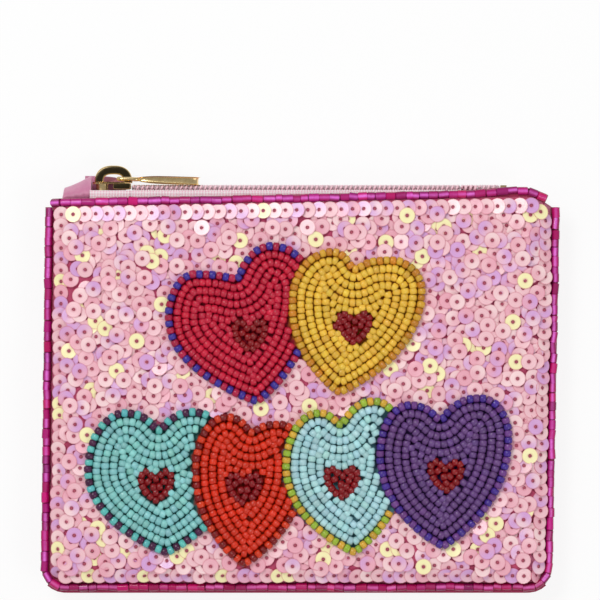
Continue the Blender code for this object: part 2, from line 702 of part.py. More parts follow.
def bridge_arch(foot_y):
    """The bridge from the side: a band with sloped shoulders that stands on the upper wing."""
    left = SLIDER_LEFT_X + BRIDGE_START
    right = SLIDER_LEFT_X + SLIDER_LENGTH - BRIDGE_END
    top = foot_y + SLIDER_WING / 2 + BRIDGE_HEIGHT
    inner_top = top - BRIDGE_BAND
    outline = [
        (left, foot_y),
        (left + BRIDGE_BAND, foot_y),
        (left + BRIDGE_BAND, inner_top - BRIDGE_SHOULDER / 2),
        (left + BRIDGE_BAND + BRIDGE_SHOULDER / 2, inner_top),
        (right - BRIDGE_BAND - BRIDGE_SHOULDER / 2, inner_top),
        (right - BRIDGE_BAND, inner_top - BRIDGE_SHOULDER / 2),
        (right - BRIDGE_BAND, foot_y),
        (right, foot_y),
        (right, top - BRIDGE_SHOULDER),
        (right - BRIDGE_SHOULDER, top),
        (left + BRIDGE_SHOULDER, top),
        (left, top - BRIDGE_SHOULDER),
    ]
    base_z = MID_Z - BRIDGE_HALF_WIDTH
    return prism_object("bridge_arch", outline, base_z, 2 * BRIDGE_HALF_WIDTH, None, CUTTERS)


def pull_pin_y():
    coil_top = TAPE_Y + TAPE_THICKNESS / 2 + CLEARANCE + COIL_HEIGHT
    return coil_top + CLEARANCE + SLIDER_WING + CLEARANCE + PULL_PIN_RADIUS


def make_pull():
    """A flat bar with two arms whose cross pin runs through the bridge. Its origin is on the pin."""
    look = material("gold_metal", (0.70, 0.48, 0.18), 0.25, metallic=1.0)
    pivot = Vector((SLIDER_LEFT_X + SLIDER_LENGTH - PULL_PIN_FROM_END, pull_pin_y(), MID_Z))
    round_end = PULL_HALF_WIDTH
    turns = np.linspace(-math.pi / 2, math.pi / 2, 9)
    bar = [(PULL_BAR_START, -PULL_HALF_WIDTH)]
    for turn in turns:
        bar.append((PULL_LENGTH - round_end + round_end * math.cos(turn), PULL_HALF_WIDTH * math.sin(turn)))
    bar.append((PULL_BAR_START, PULL_HALF_WIDTH))
    pull = prism_object("pull_tab", bar, -PULL_THICKNESS / 2, PULL_THICKNESS, look, upright=True)
    pull.location = pivot
    pull.rotation_euler.z = PULL_REST_TILT
    for side in (-1, 1):
        ends = sorted((side * PULL_HALF_WIDTH, side * (PULL_HALF_WIDTH - PULL_ARM_WIDTH)))
        arm = box_object(
            f"pull_arm_{side}",
            (0.0, -PULL_PIN_RADIUS, ends[0]),
            (PULL_BAR_START + PULL_ARM_WIDTH, PULL_PIN_RADIUS, ends[1]),
            None,
            CUTTERS,
        )
        arm.location = pivot
        arm.rotation_euler.z = PULL_REST_TILT
        add_boolean(pull, arm, "UNION")
    pin = bmesh.new()
    bmesh.ops.create_cone(
        pin, cap_ends=True, segments=10, radius1=PULL_PIN_RADIUS, radius2=PULL_PIN_RADIUS, depth=2 * PULL_HALF_WIDTH
    )
    pin_object = mesh_object("pull_pin", pin, None, CUTTERS)
    pin_object.location = pivot
    add_boolean(pull, pin_object, "UNION")


def make_zip_tab():
    """A folded satin tab sewn over the tapes' left end, with one ply that stands behind the slider."""
    look = material("pink_satin", (0.60, 0.22, 0.35), 0.45)
    foot = TAPE_Y + TAPE_THICKNESS / 2 + CLEARANCE
    right = SLIDER_LEFT_X - CLEARANCE
    front = [
        (TAB_LEFT_X, foot),
        (right, foot),
        (right, foot + TAB_HIGH_HEIGHT),
        ((TAB_LEFT_X + right) / 2, foot + (TAB_LOW_HEIGHT + TAB_HIGH_HEIGHT) / 2),
        (TAB_LEFT_X, foot + TAB_LOW_HEIGHT),
    ]
    tab = prism_object("zip_tab", front, MID_Z - TAB_HALF_WIDTH, 2 * TAB_HALF_WIDTH, look)
    behind = MID_Z - SLIDER_HALF_WIDTH - CLEARANCE - TAB_FOLD
    ply = [
        ((TAB_LEFT_X + right) / 2, foot),
        (right + TAB_FOLD_REACH, foot),
        (right + TAB_FOLD_REACH, foot + TAB_HIGH_HEIGHT),
        (right, foot + TAB_HIGH_HEIGHT),
        ((TAB_LEFT_X + right) / 2, foot + TAB_HIGH_HEIGHT / 2),
    ]
    ply_object = prism_object("tab_ply", ply, behind, TAB_FOLD, None, CUTTERS)
    link_low = ((TAB_LEFT_X + right) / 2 + CLEARANCE, foot + CLEARANCE, behind + TAB_FOLD / 2)
    link_high = (right - CLEARANCE, foot + TAB_HIGH_HEIGHT / 2, MID_Z)
    link = box_object("tab_link", link_low, link_high, None, CUTTERS)
    add_boolean(tab, ply_object, "UNION")
    add_boolean(tab, link, "UNION")


def main():
    clear_scene()
    make_collections()
    make_cloth()
    make_sequin_field()
    for name in HEART_LANDMARKS_PX:
        make_heart(name)
    make_edge_beads()
    make_zip_tapes()
    make_coils()
    make_slider()
    make_pull()
    make_zip_tab()


main()
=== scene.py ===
"""Beaded coin purse, dressed: cloth, sequins, seed beads, tube beads, coil zip, slider and pull.

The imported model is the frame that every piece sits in. The purse lies on its back, with its front
face up (+Z) and its zip towards +Y. Lengths are in metres. A lift is a height over the middle
plane, in which the front and back panels meet; the back's own lifts are turned over.
"""

import math

import bpy
import numpy as np
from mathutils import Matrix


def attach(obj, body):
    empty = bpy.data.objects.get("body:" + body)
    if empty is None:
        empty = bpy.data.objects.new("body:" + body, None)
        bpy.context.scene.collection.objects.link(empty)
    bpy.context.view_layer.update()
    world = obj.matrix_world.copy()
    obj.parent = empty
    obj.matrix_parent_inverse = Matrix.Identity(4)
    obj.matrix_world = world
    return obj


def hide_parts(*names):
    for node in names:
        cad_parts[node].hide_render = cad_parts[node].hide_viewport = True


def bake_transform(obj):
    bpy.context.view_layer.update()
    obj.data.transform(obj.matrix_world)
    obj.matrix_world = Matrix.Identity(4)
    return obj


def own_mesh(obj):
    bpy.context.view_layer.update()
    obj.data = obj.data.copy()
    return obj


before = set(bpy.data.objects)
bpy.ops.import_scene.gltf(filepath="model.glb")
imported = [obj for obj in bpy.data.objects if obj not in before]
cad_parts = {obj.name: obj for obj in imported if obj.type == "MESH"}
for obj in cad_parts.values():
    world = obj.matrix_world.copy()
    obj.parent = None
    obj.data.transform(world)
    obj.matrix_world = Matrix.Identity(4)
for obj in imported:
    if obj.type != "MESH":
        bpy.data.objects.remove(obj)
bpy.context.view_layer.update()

# The outer cloth: two panels of rose canvas, sewn along the sides and the bottom and turned right side
# out. The stiff beadwork keeps the front flat; it rolls down to the seam at its closed edges. The back
# is bare, with a turned and stitched hem along the mouth, and puckers a little along the seam.
MM = 0.001
MID_Z = 6.0 * MM
CLOTH_HALF_WIDTH = 62.2 * MM
CLOTH_BOTTOM_Y = -50.4 * MM
CLOTH_TOP_Y = 44.5 * MM
TOP_SLOPE_SHARE = 0.0215
TOP_CORNER_REACH = 8.0 * MM
TOP_CORNER_DROP = 3.0 * MM
CLOTH_DEPTH = 6.0 * MM
SIDE_ROLL = 7.0 * MM
BOTTOM_ROLL = 6.0 * MM
CORNER_RADIUS = 4.5 * MM
CLOTH_THICKNESS = 0.8 * MM
SEAM_LIFT = 0.1 * MM
LEFT_TOP_X = -61.55 * MM
LEFT_LOW_X = -62.65 * MM
RIGHT_TOP_X = 62.85 * MM
RIGHT_LOW_X = 60.95 * MM
PUCKER_PITCH = 9.0 * MM
PUCKER_DEPTH = 0.35 * MM
SAG_DEPTH = 0.5 * MM
SAG_POWER = 4
PUCKER_SECOND_SHARE = 0.43
PUCKER_MIDDLE_SHARE = 0.45
PUCKER_REACH_SHARE = 0.4
THREAD_PITCH = 0.42 * MM
WEAVE_DEPTH = 0.16 * MM
SLUB_THREADS = 6
MOTTLE_THREADS = 40
WEAVE_TONE_SHARE = 0.35
SLUB_TONE_SHARE = 0.5
MOTTLE_TONE_SHARE = 0.5
DARK_TONE_SHARE = 0.2
WEAVE_BUMP_SHARE = 0.7
SLUB_BUMP_SHARE = 0.6
ROLL_STEPS = 12
FLAT_STEP = 0.8 * MM
TINY = 1e-9
SRGB_SHIFT = 0.055
SRGB_POWER = 2.4
X_AXIS = np.array((1.0, 0.0, 0.0))
Y_AXIS = np.array((0.0, 1.0, 0.0))
Z_AXIS = np.array((0.0, 0.0, 1.0))


class Wire:
    """A number that varies over a surface. Python's operators on it add Math nodes."""

    def __init__(self, look, socket):
        self.look = look
        self.socket = socket

    def math(self, operation, first, second=0.0):
        return self.look.node("ShaderNodeMath", {"operation": operation}, {0: first, 1: second})

    def __add__(self, other):
        return self.math("ADD", self, other)

    def __sub__(self, other):
        return self.math("SUBTRACT", self, other)

    def __rsub__(self, other):
        return self.math("SUBTRACT", other, self)

    def __mul__(self, other):
        return self.math("MULTIPLY", self, other)

    def __pow__(self, other):
        return self.math("POWER", self, other)

    def sine(self):
        return self.math("SINE", self)

    def size(self):
        return self.math("ABSOLUTE", self)

    def within(self):
        """The number held between 0 and 1."""
        return self.math("MINIMUM", self.math("MAXIMUM", self, 0.0), 1.0)

    def wave(self, pitch):
        """From 0 to 1 and back, once every pitch."""
        return (self * (2 * math.pi / pitch)).sine() * 0.5 + 0.5

    __radd__ = __add__
    __rmul__ = __mul__


class Look:
    """A material with one Principled shader. What stays the same all over is set on the shader's own
    sockets; what varies is fed to it by wires."""

    def __init__(self, name, constants):
        self.material = bpy.data.materials.new(name)
        self.material.use_nodes = True
        self.tree = self.material.node_tree
        self.shader = self.tree.nodes["Principled BSDF"]
        for socket, value in constants.items():
            self.shader.inputs[socket].default_value = value

    def node(self, kind, settings=None, inputs=None, output=0):
        """Any node: its settings first, then the values or wires of its sockets. Gives one output."""
        made = self.tree.nodes.new(kind)
        for name, value in (settings or {}).items():
            setattr(made, name, value)
        for name, value in (inputs or {}).items():
            if isinstance(value, Wire):
                self.tree.links.new(value.socket, made.inputs[name])
            else:
                made.inputs[name].default_value = value
        return Wire(self, made.outputs[output])

    def feed(self, socket, wire):
        self.tree.links.new(wire.socket, self.shader.inputs[socket])

    def mix(self, share, first, second):
        """A colour between two, by a share from 0 to 1."""
        return self.node("ShaderNodeMix", {"data_type": "RGBA"}, {0: share, 6: first, 7: second}, 2)

    def dim(self, colour, share):
        """A colour times a number."""
        return self.node("ShaderNodeVectorMath", {"operation": "SCALE"}, {0: colour, "Scale": share})

    def attribute(self, name):
        return self.node("ShaderNodeAttribute", {"attribute_name": name}, output="Color")

    def place(self):
        """Object coordinates, which are the row frame's."""
        return self.node("ShaderNodeTexCoord", output="Object")

    def split(self, vector):
        """The three numbers of a vector."""
        parts = self.node("ShaderNodeSeparateXYZ", inputs={0: vector})
        return [Wire(self, socket) for socket in parts.socket.node.outputs]

    def uv(self):
        return self.split(self.node("ShaderNodeUVMap"))[:2]

    def weave(self, pitch):
        """Plain weave: 1 where the threads one way lie on top, and 0 where the others do."""
        warp, weft = ((wire * (2 * math.pi / pitch)).sine() for wire in self.uv())
        return warp * weft * 0.5 + 0.5

    def noise(self, grain, detail=3.0):
        """Even noise from 0 to 1, whose blotches are about a grain across."""
        inputs = {"Vector": self.place(), "Scale": 1 / grain, "Detail": detail}
        return self.node("ShaderNodeTexNoise", None, inputs)

    def bump(self, height, depth):
        """Raises the surface by a height from 0 to 1 times a depth."""
        self.feed("Normal", self.node("ShaderNodeBump", None, {"Height": height, "Distance": depth}))


def tint(red, green, blue):
    """A colour as painters' software gives it, from 0 to 255, made linear."""
    shares = np.array((red, green, blue)) / 255
    return (*(((shares + SRGB_SHIFT) / (1 + SRGB_SHIFT)) ** SRGB_POWER).tolist(), 1.0)


def put_mesh(name, points, look, closed=(False, True), caps=False, lines=None, tones=None, crease=None):
    """A piece from copies of one grid of points, an array (copies, rows, columns, 3).

    Each four neighbours make a face, which points along (next column) x (next row). A closed
    direction joins its last line to its first. caps fills the ring of the first and last row. lines
    holds the UV of the rows and of the columns. tones holds a colour for each copy, or for each
    point, under its attribute's name. An edge that bends by more than the crease angle stays sharp.
    """
    copies, rows, columns = points.shape[:3]
    index = np.arange(rows * columns).reshape(rows, columns)
    cells = np.stack([
        index,
        np.roll(index, -1, axis=1),
        np.roll(index, (-1, -1), axis=(0, 1)),
        np.roll(index, -1, axis=0),
    ], axis=-1)
    cell_rows = rows if closed[0] else rows - 1
    cell_columns = columns if closed[1] else columns - 1
    cells = cells[:cell_rows, :cell_columns]
    row_lines = np.linspace(0, 1, cell_rows + 1) if lines is None else lines[0]
    column_lines = np.linspace(0, 1, cell_columns + 1) if lines is None else lines[1]
    across = np.stack([column_lines[:-1], column_lines[1:], column_lines[1:], column_lines[:-1]], axis=-1)
    up = np.stack([row_lines[:-1], row_lines[:-1], row_lines[1:], row_lines[1:]], axis=-1)
    corner_uv = np.stack(np.broadcast_arrays(across[None], up[:, None]), axis=-1).reshape(-1, 2)
    corners = cells.reshape(-1)
    sizes = np.full(cell_rows * cell_columns, 4)
    if caps:
        corners = np.concatenate([corners, index[0, ::-1], index[-1]])
        sizes = np.concatenate([sizes, [columns, columns]])
        corner_uv = np.concatenate([corner_uv, np.zeros((2 * columns, 2))])
    shift = np.arange(copies)[:, None] * rows * columns
    corners = (corners[None] + shift).reshape(-1)
    sizes = np.tile(sizes, copies)
    data = bpy.data.meshes.new(name)
    data.vertices.add(copies * rows * columns)
    data.vertices.foreach_set("co", points.astype(np.float32).reshape(-1))
    data.loops.add(len(corners))
    data.loops.foreach_set("vertex_index", corners.astype(np.int32))
    data.polygons.add(len(sizes))
    data.polygons.foreach_set("loop_start", (np.cumsum(sizes) - sizes).astype(np.int32))
    data.polygons.foreach_set("use_smooth", np.ones(len(sizes), dtype=bool))
    data.uv_layers.new(name="UVMap").uv.foreach_set("vector", np.tile(corner_uv, (copies, 1)).reshape(-1))
    for key, colours in (tones or {}).items():
        each = colours
        if len(colours) != copies * rows * columns:
            each = np.repeat(colours, rows * columns, axis=0)
        layer = data.attributes.new(key, "FLOAT_COLOR", "POINT")
        layer.data.foreach_set("color", each.astype(np.float32).reshape(-1))
    data.update()
    data.validate()
    if crease is not None:
        data.set_sharp_from_angle(angle=crease)
    piece = bpy.data.objects.new(name, data)
    bpy.context.scene.collection.objects.link(piece)
    data.materials.append(look.material)
    return piece


def thicken(piece, thickness, offset=-1.0):
    """Gives a sheet its thickness: behind the side that its faces point to, or on both with offset 0."""
    solid = piece.modifiers.new("thickness", "SOLIDIFY")
    solid.thickness = thickness
    solid.offset = offset
    solid.use_even_offset = True
    return piece


def fit(piece, body, slot, *nodes):
    """Names the body that a piece rides on and hides the CAD nodes that it stands for. The slot is not used.
    """
    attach(piece, body)
    if nodes:
        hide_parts(*nodes)


def roll_share(depth, roll):
    """A quarter ellipse: 0 at a closed edge, and 1 from a roll's width in."""
    return np.sqrt(1 - (1 - np.clip(depth / roll, 0, 1)) ** 2)


def mouth_y(x, base=CLOTH_TOP_Y):
    """The mouth's edge rises a little to the right, and rounds off at the right corner."""
    into_corner = np.clip((x - CLOTH_HALF_WIDTH + TOP_CORNER_REACH) / TOP_CORNER_REACH, 0, 1)
    return base + TOP_SLOPE_SHARE * x - TOP_CORNER_DROP * into_corner**2


def lean_share(x, y):
    """How far the purse's side lies out, at a height and on the side of x, as a share of the even half width.

    The purse isn't quite square: its sides lean a little to the left towards the bottom.
    """
    up_share = np.clip((y - CLOTH_BOTTOM_Y) / (CLOTH_TOP_Y - CLOTH_BOTTOM_Y), 0, 1)
    left = LEFT_LOW_X + (LEFT_TOP_X - LEFT_LOW_X) * up_share
    right = RIGHT_LOW_X + (RIGHT_TOP_X - RIGHT_LOW_X) * up_share
    return np.where(x < 0, -left, right) / CLOTH_HALF_WIDTH


def face_lift(x, y, inset=0.0):
    """The lift of a panel at a place seen from above.

    It is the full depth times a quarter ellipse in from the sides and one up from the bottom. In a
    round lower corner, the place is first moved out to the square that the corner was drawn in from.
    """
    half_width = CLOTH_HALF_WIDTH - inset
    bottom_y = CLOTH_BOTTOM_Y + inset
    corner = CORNER_RADIUS - inset
    x = x / lean_share(x, y)
    across = np.maximum(0, np.abs(x) - (half_width - corner))
    down = np.maximum(0, bottom_y + corner - y)
    both = (across > 0) & (down > 0)
    out = np.where(both, np.hypot(across, down) / np.maximum(np.maximum(across, down), TINY), 1)
    from_side = corner - across * out + np.maximum(0, half_width - corner - np.abs(x))
    from_bottom = corner - down * out + np.maximum(0, y - bottom_y - corner)
    share = roll_share(from_side, SIDE_ROLL - inset) * roll_share(from_bottom, BOTTOM_ROLL - inset)
    return SEAM_LIFT + (CLOTH_DEPTH - inset - SEAM_LIFT) * share


def pouch_face(inset=0.0, top_y=CLOTH_TOP_Y, level_top=False):
    """A panel's grid of points (rows, columns, 3): even turns of each rolled edge, and even steps between.

    The lower corners are drawn in from a square to a circle. The rows spread to meet the mouth's edge.
    """
    half_width = CLOTH_HALF_WIDTH - inset
    bottom_y = CLOTH_BOTTOM_Y + inset
    corner = CORNER_RADIUS - inset
    turns = np.cos(np.linspace(0, math.pi / 2, ROLL_STEPS + 1))
    side = half_width - (SIDE_ROLL - inset) * (1 - turns)
    flat = np.linspace(-side[-1], side[-1], round(2 * side[-1] / FLAT_STEP) + 1)[1:-1]
    columns = np.concatenate([-side, flat, side[::-1]])
    low = bottom_y + (BOTTOM_ROLL - inset) * (1 - turns)
    up = np.linspace(low[-1], top_y, round((top_y - low[-1]) / FLAT_STEP) + 1)[1:]
    rows = np.concatenate([low, up])
    x, y = np.meshgrid(columns, rows)
    from_side = half_width - np.abs(x)
    from_bottom = y - bottom_y
    share = roll_share(from_side, SIDE_ROLL - inset) * roll_share(from_bottom, BOTTOM_ROLL - inset)
    lift = SEAM_LIFT + (CLOTH_DEPTH - inset - SEAM_LIFT) * share
    across = np.maximum(0, corner - from_side)
    down = np.maximum(0, corner - from_bottom)
    both = (across > 0) & (down > 0)
    pull = np.where(both, np.maximum(across, down) / np.maximum(np.hypot(across, down), TINY), 1)
    placed_x = np.sign(x) * (np.abs(x) - across * (1 - pull))
    placed_y = y + down * (1 - pull)
    if not level_top:
        placed_y += (y - rows[0]) / (rows[-1] - rows[0]) * (mouth_y(x, top_y) - top_y)
    placed_x *= lean_share(placed_x, placed_y)
    return np.stack([placed_x, placed_y, lift], axis=-1)


def line_lengths(points):
    """The lengths along the middle row and the middle column of a grid, as its UV lines."""
    row = points[len(points) // 2]
    column = points[:, points.shape[1] // 2]
    return [
        np.concatenate([[0], np.cumsum(np.linalg.norm(np.diff(line, axis=0), axis=1))])
        for line in (column, row)
    ]


def facing(points, side):
    """A grid of (x, y, lift) points set on the front (1) or turned over for the back (-1)."""
    placed = points * np.array((1, 1, side)) + np.array((0, 0, MID_Z))
    return placed if side == 1 else placed[:, ::-1]


def woven(name, dark, light, pitch, depth, roughness=0.85, sheen=0.3):
    """Plain weave: warp and weft cross over and under each other, with slubs and a worn, mottled dye."""
    look = Look(name, {"Roughness": roughness, "Sheen Weight": sheen, "Specular IOR Level": 0.3})
    weave = look.weave(pitch)
    slub = look.noise(SLUB_THREADS * pitch)
    mottle = look.noise(MOTTLE_THREADS * pitch)
    share = weave * WEAVE_TONE_SHARE + slub * SLUB_TONE_SHARE + mottle * MOTTLE_TONE_SHARE - DARK_TONE_SHARE
    look.feed("Base Color", look.mix(share.within(), dark, light))
    look.bump(weave * WEAVE_BUMP_SHARE + slub * SLUB_BUMP_SHARE, depth)
    return look


def cloth_sheet(name, points, side, look, thickness):
    """A sheet of cloth on one side of the pouch, and the size it was cut to."""
    lines = line_lengths(points)
    piece = put_mesh(name, facing(points, side)[None], look, closed=(False, False), lines=lines)
    return thicken(piece, thickness), (float(lines[1][-1]), float(lines[0][-1]))


canvas = woven("rose_canvas", tint(184, 84, 120), tint(234, 148, 176), THREAD_PITCH, WEAVE_DEPTH)
back = pouch_face()
from_edge = np.minimum(CLOTH_HALF_WIDTH - np.abs(back[..., 0]), back[..., 1] - CLOTH_BOTTOM_Y)
along_seam = np.where(np.abs(back[..., 0]) > CLOTH_HALF_WIDTH - SIDE_ROLL, back[..., 1], back[..., 0])
turns = 2 * math.pi * along_seam / PUCKER_PITCH
wave = (2 + np.sin(turns) + np.sin(turns / PUCKER_SECOND_SHARE)) / 4
near_seam = np.exp(-((from_edge / SIDE_ROLL - PUCKER_MIDDLE_SHARE) / PUCKER_REACH_SHARE) ** 2)
up_share = np.clip(back[..., 1] / CLOTH_TOP_Y / 2 + 0.5, 0, 1)
sag = np.sin(math.pi * up_share) * (back[..., 0] / CLOTH_HALF_WIDTH) ** SAG_POWER
back[..., 2] -= near_seam * (PUCKER_DEPTH * wave + SAG_DEPTH * sag * (from_edge > 0))
back_cloth, cut = cloth_sheet("back_cloth", back, -1, canvas, CLOTH_THICKNESS)
fit(back_cloth, "pouch", "pink_cloth", "back_panel")

# The front is the same canvas, sewn all over: dark rose between the sequins, their thread with painted
# shadow; each heart's deep colour between its bead rows, as painted shade; bare at the right corners.
CLOTH_LEFT_PX = 48.2
CLOTH_RIGHT_PX = 551.8
CLOTH_TOP_PX = 201.3
CLOTH_BOTTOM_PX = 585.5
BARE_CORNER_REACH = 5.5 * MM
BARE_CORNER_FLAT_SHARE = 0.8
GROUND_MOTTLE = 2.0 * MM
GROUND_CREASE = 1.0 * MM
GROUND_DEPTH = 0.15 * MM
GROUND_WEAVE_SHARE = 0.3
GROUND_MOTTLE_SHARE = 0.5
GROUND_LEAST_SHARE = 0.6
HEART_LANDMARKS_PX = {
    "crimson": {"left": (164.5, 318), "left_top": (195, 270), "cleft": (235, 275), "right_top": (272, 242),
                "right": (316, 290), "tip": (258, 406)},
    "yellow": {"left": (288, 303), "left_top": (332, 248), "cleft": (355, 265), "right_top": (389, 256),
               "right": (426, 290), "tip": (339, 397)},
    "turquoise": {"left": (84, 471), "left_top": (125, 409), "cleft": (159, 426), "right_top": (194, 408),
                  "right": (238, 465), "tip": (167, 557)},
    "orange": {"left": (191.5, 471), "left_top": (226, 413), "cleft": (252, 428), "right_top": (280, 420),
               "right": (308, 466), "tip": (244, 569)},
    "pale_blue": {"left": (282, 466), "left_top": (318, 409), "cleft": (340, 420), "right_top": (375, 397),
                  "right": (409, 455), "tip": (355, 557)},
    "purple": {"left": (376, 455), "left_top": (409, 401), "cleft": (440, 415), "right_top": (480.5, 394),
               "right": (512.7, 437), "tip": (443, 551)},
}
# Each heart lies over its left neighbour.
COVERED_BY = {"crimson": "yellow", "turquoise": "orange", "orange": "pale_blue", "pale_blue": "purple"}
ROUND_HANDLE_SHARE = 0.552
SIDE_HANDLE_SHARE = 0.50
TIP_SPREAD_SHARE = 0.46
TIP_RISE_SHARE = 0.17
CLEFT_RISE_SHARE = 0.5
CLEFT_SPREAD_SHARE = 0.2
OUTLINE_STEPS = 40


def front_place(pixel):
    """Where a landmark lies on the front, from the shares of the cloth's width and height it is at."""
    across_share = (pixel[0] - CLOTH_LEFT_PX) / (CLOTH_RIGHT_PX - CLOTH_LEFT_PX)
    up_share = (CLOTH_BOTTOM_PX - pixel[1]) / (CLOTH_BOTTOM_PX - CLOTH_TOP_PX)
    return np.array((
        (2 * across_share - 1) * CLOTH_HALF_WIDTH,
        CLOTH_BOTTOM_Y + up_share * (CLOTH_TOP_Y - CLOTH_BOTTOM_Y),
    ))


def cubic(start, start_handle, end_handle, end):
    """Points along a cubic curve, without its last point."""
    t = np.linspace(0, 1, OUTLINE_STEPS, endpoint=False)[:, None]
    s = 1 - t
    return s**3 * start + 3 * s**2 * t * start_handle + 3 * s * t**2 * end_handle + t**3 * end


def heart_half(cleft, top, side, tip):
    """Half a heart from its cleft over the lobe to the tip: level at the lobe's top, upright at its side."""
    over = np.array((side[0] - top[0], 0))
    drop = np.array((0, side[1] - top[1]))
    lobe_start = top - np.array((top[0] - cleft[0], 0)) * ROUND_HANDLE_SHARE
    cleft_rise = cleft + (top - cleft) * np.array((CLEFT_SPREAD_SHARE, CLEFT_RISE_SHARE))
    fall = np.array((0, tip[1] - side[1]))
    tip_rise = tip + (side - tip) * np.array((TIP_SPREAD_SHARE, TIP_RISE_SHARE))
    return np.concatenate([
        cubic(cleft, cleft_rise, lobe_start, top),
        cubic(top, top + over * ROUND_HANDLE_SHARE, side - drop * ROUND_HANDLE_SHARE, side),
        cubic(side, side + fall * SIDE_HANDLE_SHARE, tip_rise, tip),
    ])


def heart_outline(marks):
    """A heart's outline through its landmarks, anticlockwise from its cleft."""
    left = heart_half(marks["cleft"], marks["left_top"], marks["left"], marks["tip"])
    right = heart_half(marks["cleft"], marks["right_top"], marks["right"], marks["tip"])
    return np.concatenate([left, marks["tip"][None], right[:0:-1]])


def edge_distance(places, outline):
    """How far each place lies inside a closed outline, and less than 0 outside it.

    The distance is to the nearest point of any side; the crossings of a level ray give its sign.
    """
    start = outline[None]
    side = np.roll(outline, -1, axis=0)[None] - start
    apart = places[:, None] - start
    along = np.clip(np.sum(apart * side, axis=-1) / np.sum(side**2, axis=-1), 0, 1)
    nearest = np.linalg.norm(apart - along[..., None] * side, axis=-1).min(axis=1)
    end_y = start[..., 1] + side[..., 1]
    spans = (start[..., 1] > places[:, None, 1]) != (end_y > places[:, None, 1])
    rise = np.where(spans, side[..., 1], 1)
    meets_x = start[..., 0] + (places[:, None, 1] - start[..., 1]) / rise * side[..., 0]
    crossings = np.sum(spans & (places[:, None, 0] < meets_x), axis=1)
    return np.where(crossings % 2 == 1, nearest, -nearest)


outlines = {
    name: heart_outline({key: front_place(pixel) for key, pixel in marks.items()})
    for name, marks in HEART_LANDMARKS_PX.items()
}
# Each heart's glass: its field and the two colours of its outline; deep is the painted shade between its
# rows.
HEART_GLASS = {
    "crimson": {"fill": (196, 28, 60), "row": ((62, 44, 150), (176, 26, 70)), "deep": (176, 20, 54)},
    "yellow": {"fill": (234, 188, 66), "row": ((214, 164, 52), (198, 130, 34)), "deep": (206, 120, 34)},
    "turquoise": {"fill": (138, 200, 198), "row": ((96, 186, 184), (74, 24, 66)), "deep": (50, 130, 128)},
    "orange": {"fill": (212, 46, 20), "row": ((208, 56, 24), (128, 12, 14)), "deep": (190, 44, 20)},
    "pale_blue": {"fill": (172, 214, 218), "row": ((152, 180, 54), (214, 168, 56)), "deep": (96, 150, 164)},
    "purple": {"fill": (104, 68, 128), "row": ((70, 42, 142), (112, 62, 136)), "deep": (60, 30, 96)},
}

front = pouch_face()
front_flat = front[..., :2].reshape(-1, 2)
# Dark rose under the sequins: their thread colour with painted shadow.
ground_and_shade = np.tile(tint(214, 84, 124), (len(front_flat), 1))
from_corner = np.hypot(CLOTH_HALF_WIDTH - front_flat[:, 0],
                       (np.abs(front_flat[:, 1]) - CLOTH_TOP_Y) * BARE_CORNER_FLAT_SHARE)
ground_and_shade[from_corner < BARE_CORNER_REACH] = tint(214, 116, 150)
for name, outline in outlines.items():
    # Painted shade between each heart's bead rows, in the heart's deep colour.
    ground_and_shade[edge_distance(front_flat, outline) > 0] = tint(*HEART_GLASS[name]["deep"])
sewn = Look("sewn_canvas", {"Roughness": 0.85, "Sheen Weight": 0.2, "Specular IOR Level": 0.3})
weave = sewn.weave(THREAD_PITCH)
worn = weave * GROUND_WEAVE_SHARE + sewn.noise(GROUND_MOTTLE) * GROUND_MOTTLE_SHARE + GROUND_LEAST_SHARE
sewn.feed("Base Color", sewn.dim(sewn.attribute("ground_and_shade"), worn))
sewn.bump(weave + sewn.noise(GROUND_CREASE), GROUND_DEPTH)
front_cloth = put_mesh("front_cloth", facing(front, 1)[None], sewn, closed=(False, False),
                       lines=line_lengths(front), tones={"ground_and_shade": ground_and_shade})
thicken(front_cloth, CLOTH_THICKNESS)
fit(front_cloth, "pouch", "pink_cloth", "front_panel")

# The lining: two sheets of thin rose satin inside the canvas, joined to it at the zip. They hang a
# little slack, in shallow upright folds.
LINING_INSET = 1.2 * MM
LINING_TOP_Y = 43.4 * MM
LINING_THICKNESS = 0.25 * MM
LINING_FOLD = 0.25 * MM
LINING_FOLD_PITCH = 17.0 * MM
LINING_THREAD = 0.3 * MM
LINING_WEAVE_DEPTH = 0.05 * MM
SIDES = {"front": 1, "back": -1}
satin_weave = woven("rose_lining", tint(205, 120, 150), tint(232, 160, 186), LINING_THREAD,
                    LINING_WEAVE_DEPTH, roughness=0.5, sheen=0.6)
for name, side in SIDES.items():
    points = pouch_face(LINING_INSET, LINING_TOP_Y, level_top=True)
    bent = 2 * np.sin(points[..., 1] / LINING_FOLD_PITCH)
    fold = np.sin(2 * math.pi * points[..., 0] / LINING_FOLD_PITCH + bent)
    points[..., 2] -= LINING_FOLD * (1 + fold) * np.clip(points[..., 2] / CLOTH_DEPTH, 0, 1)
    lining, cut_size = cloth_sheet(f"{name}_lining_sheet", points, side, satin_weave, LINING_THICKNESS)
    fit(lining, "pouch", "pink_lining", f"{name}_lining")

# The hearts: seed beads threaded in rows that follow each heart's outline, laid inwards until it is
# full, and a row round it in two colours by turns. A small heart of dark red beads marks the middle.
SEED_RADIUS = 1.04 * MM
SEED_LENGTH = 1.54 * MM
SEED_BORE = 0.32 * MM
SEED_SIDES = 10
SEED_PITCH = 1.56 * MM
ROW_PITCH = 2.08 * MM
OUTLINE_SEED_PITCH = 1.64 * MM
SEED_JITTER = 0.07 * MM
SEED_TILT = 0.10
SEED_SIZE_STRAY = 0.03
SEED_RIM_SHARE = 0.74
SEED_SHOULDER_SHARE = 0.96
SEED_SHOULDER_PLACE_SHARE = 0.68
SEED_LINE_SHARES = (0, 0.05, 0.25, 0.5, 0.75, 0.95, 1.0, 0)
SEED_DRAWS = 11
FIELD_ROUGHNESS = 0.26
OUTLINE_ROUGHNESS = 0.18
SEED_CREASE = math.radians(50)
SHADE_STRAY = 0.07
HUE_STRAY = 0.025
GLASS_CLOUD = 0.7 * MM
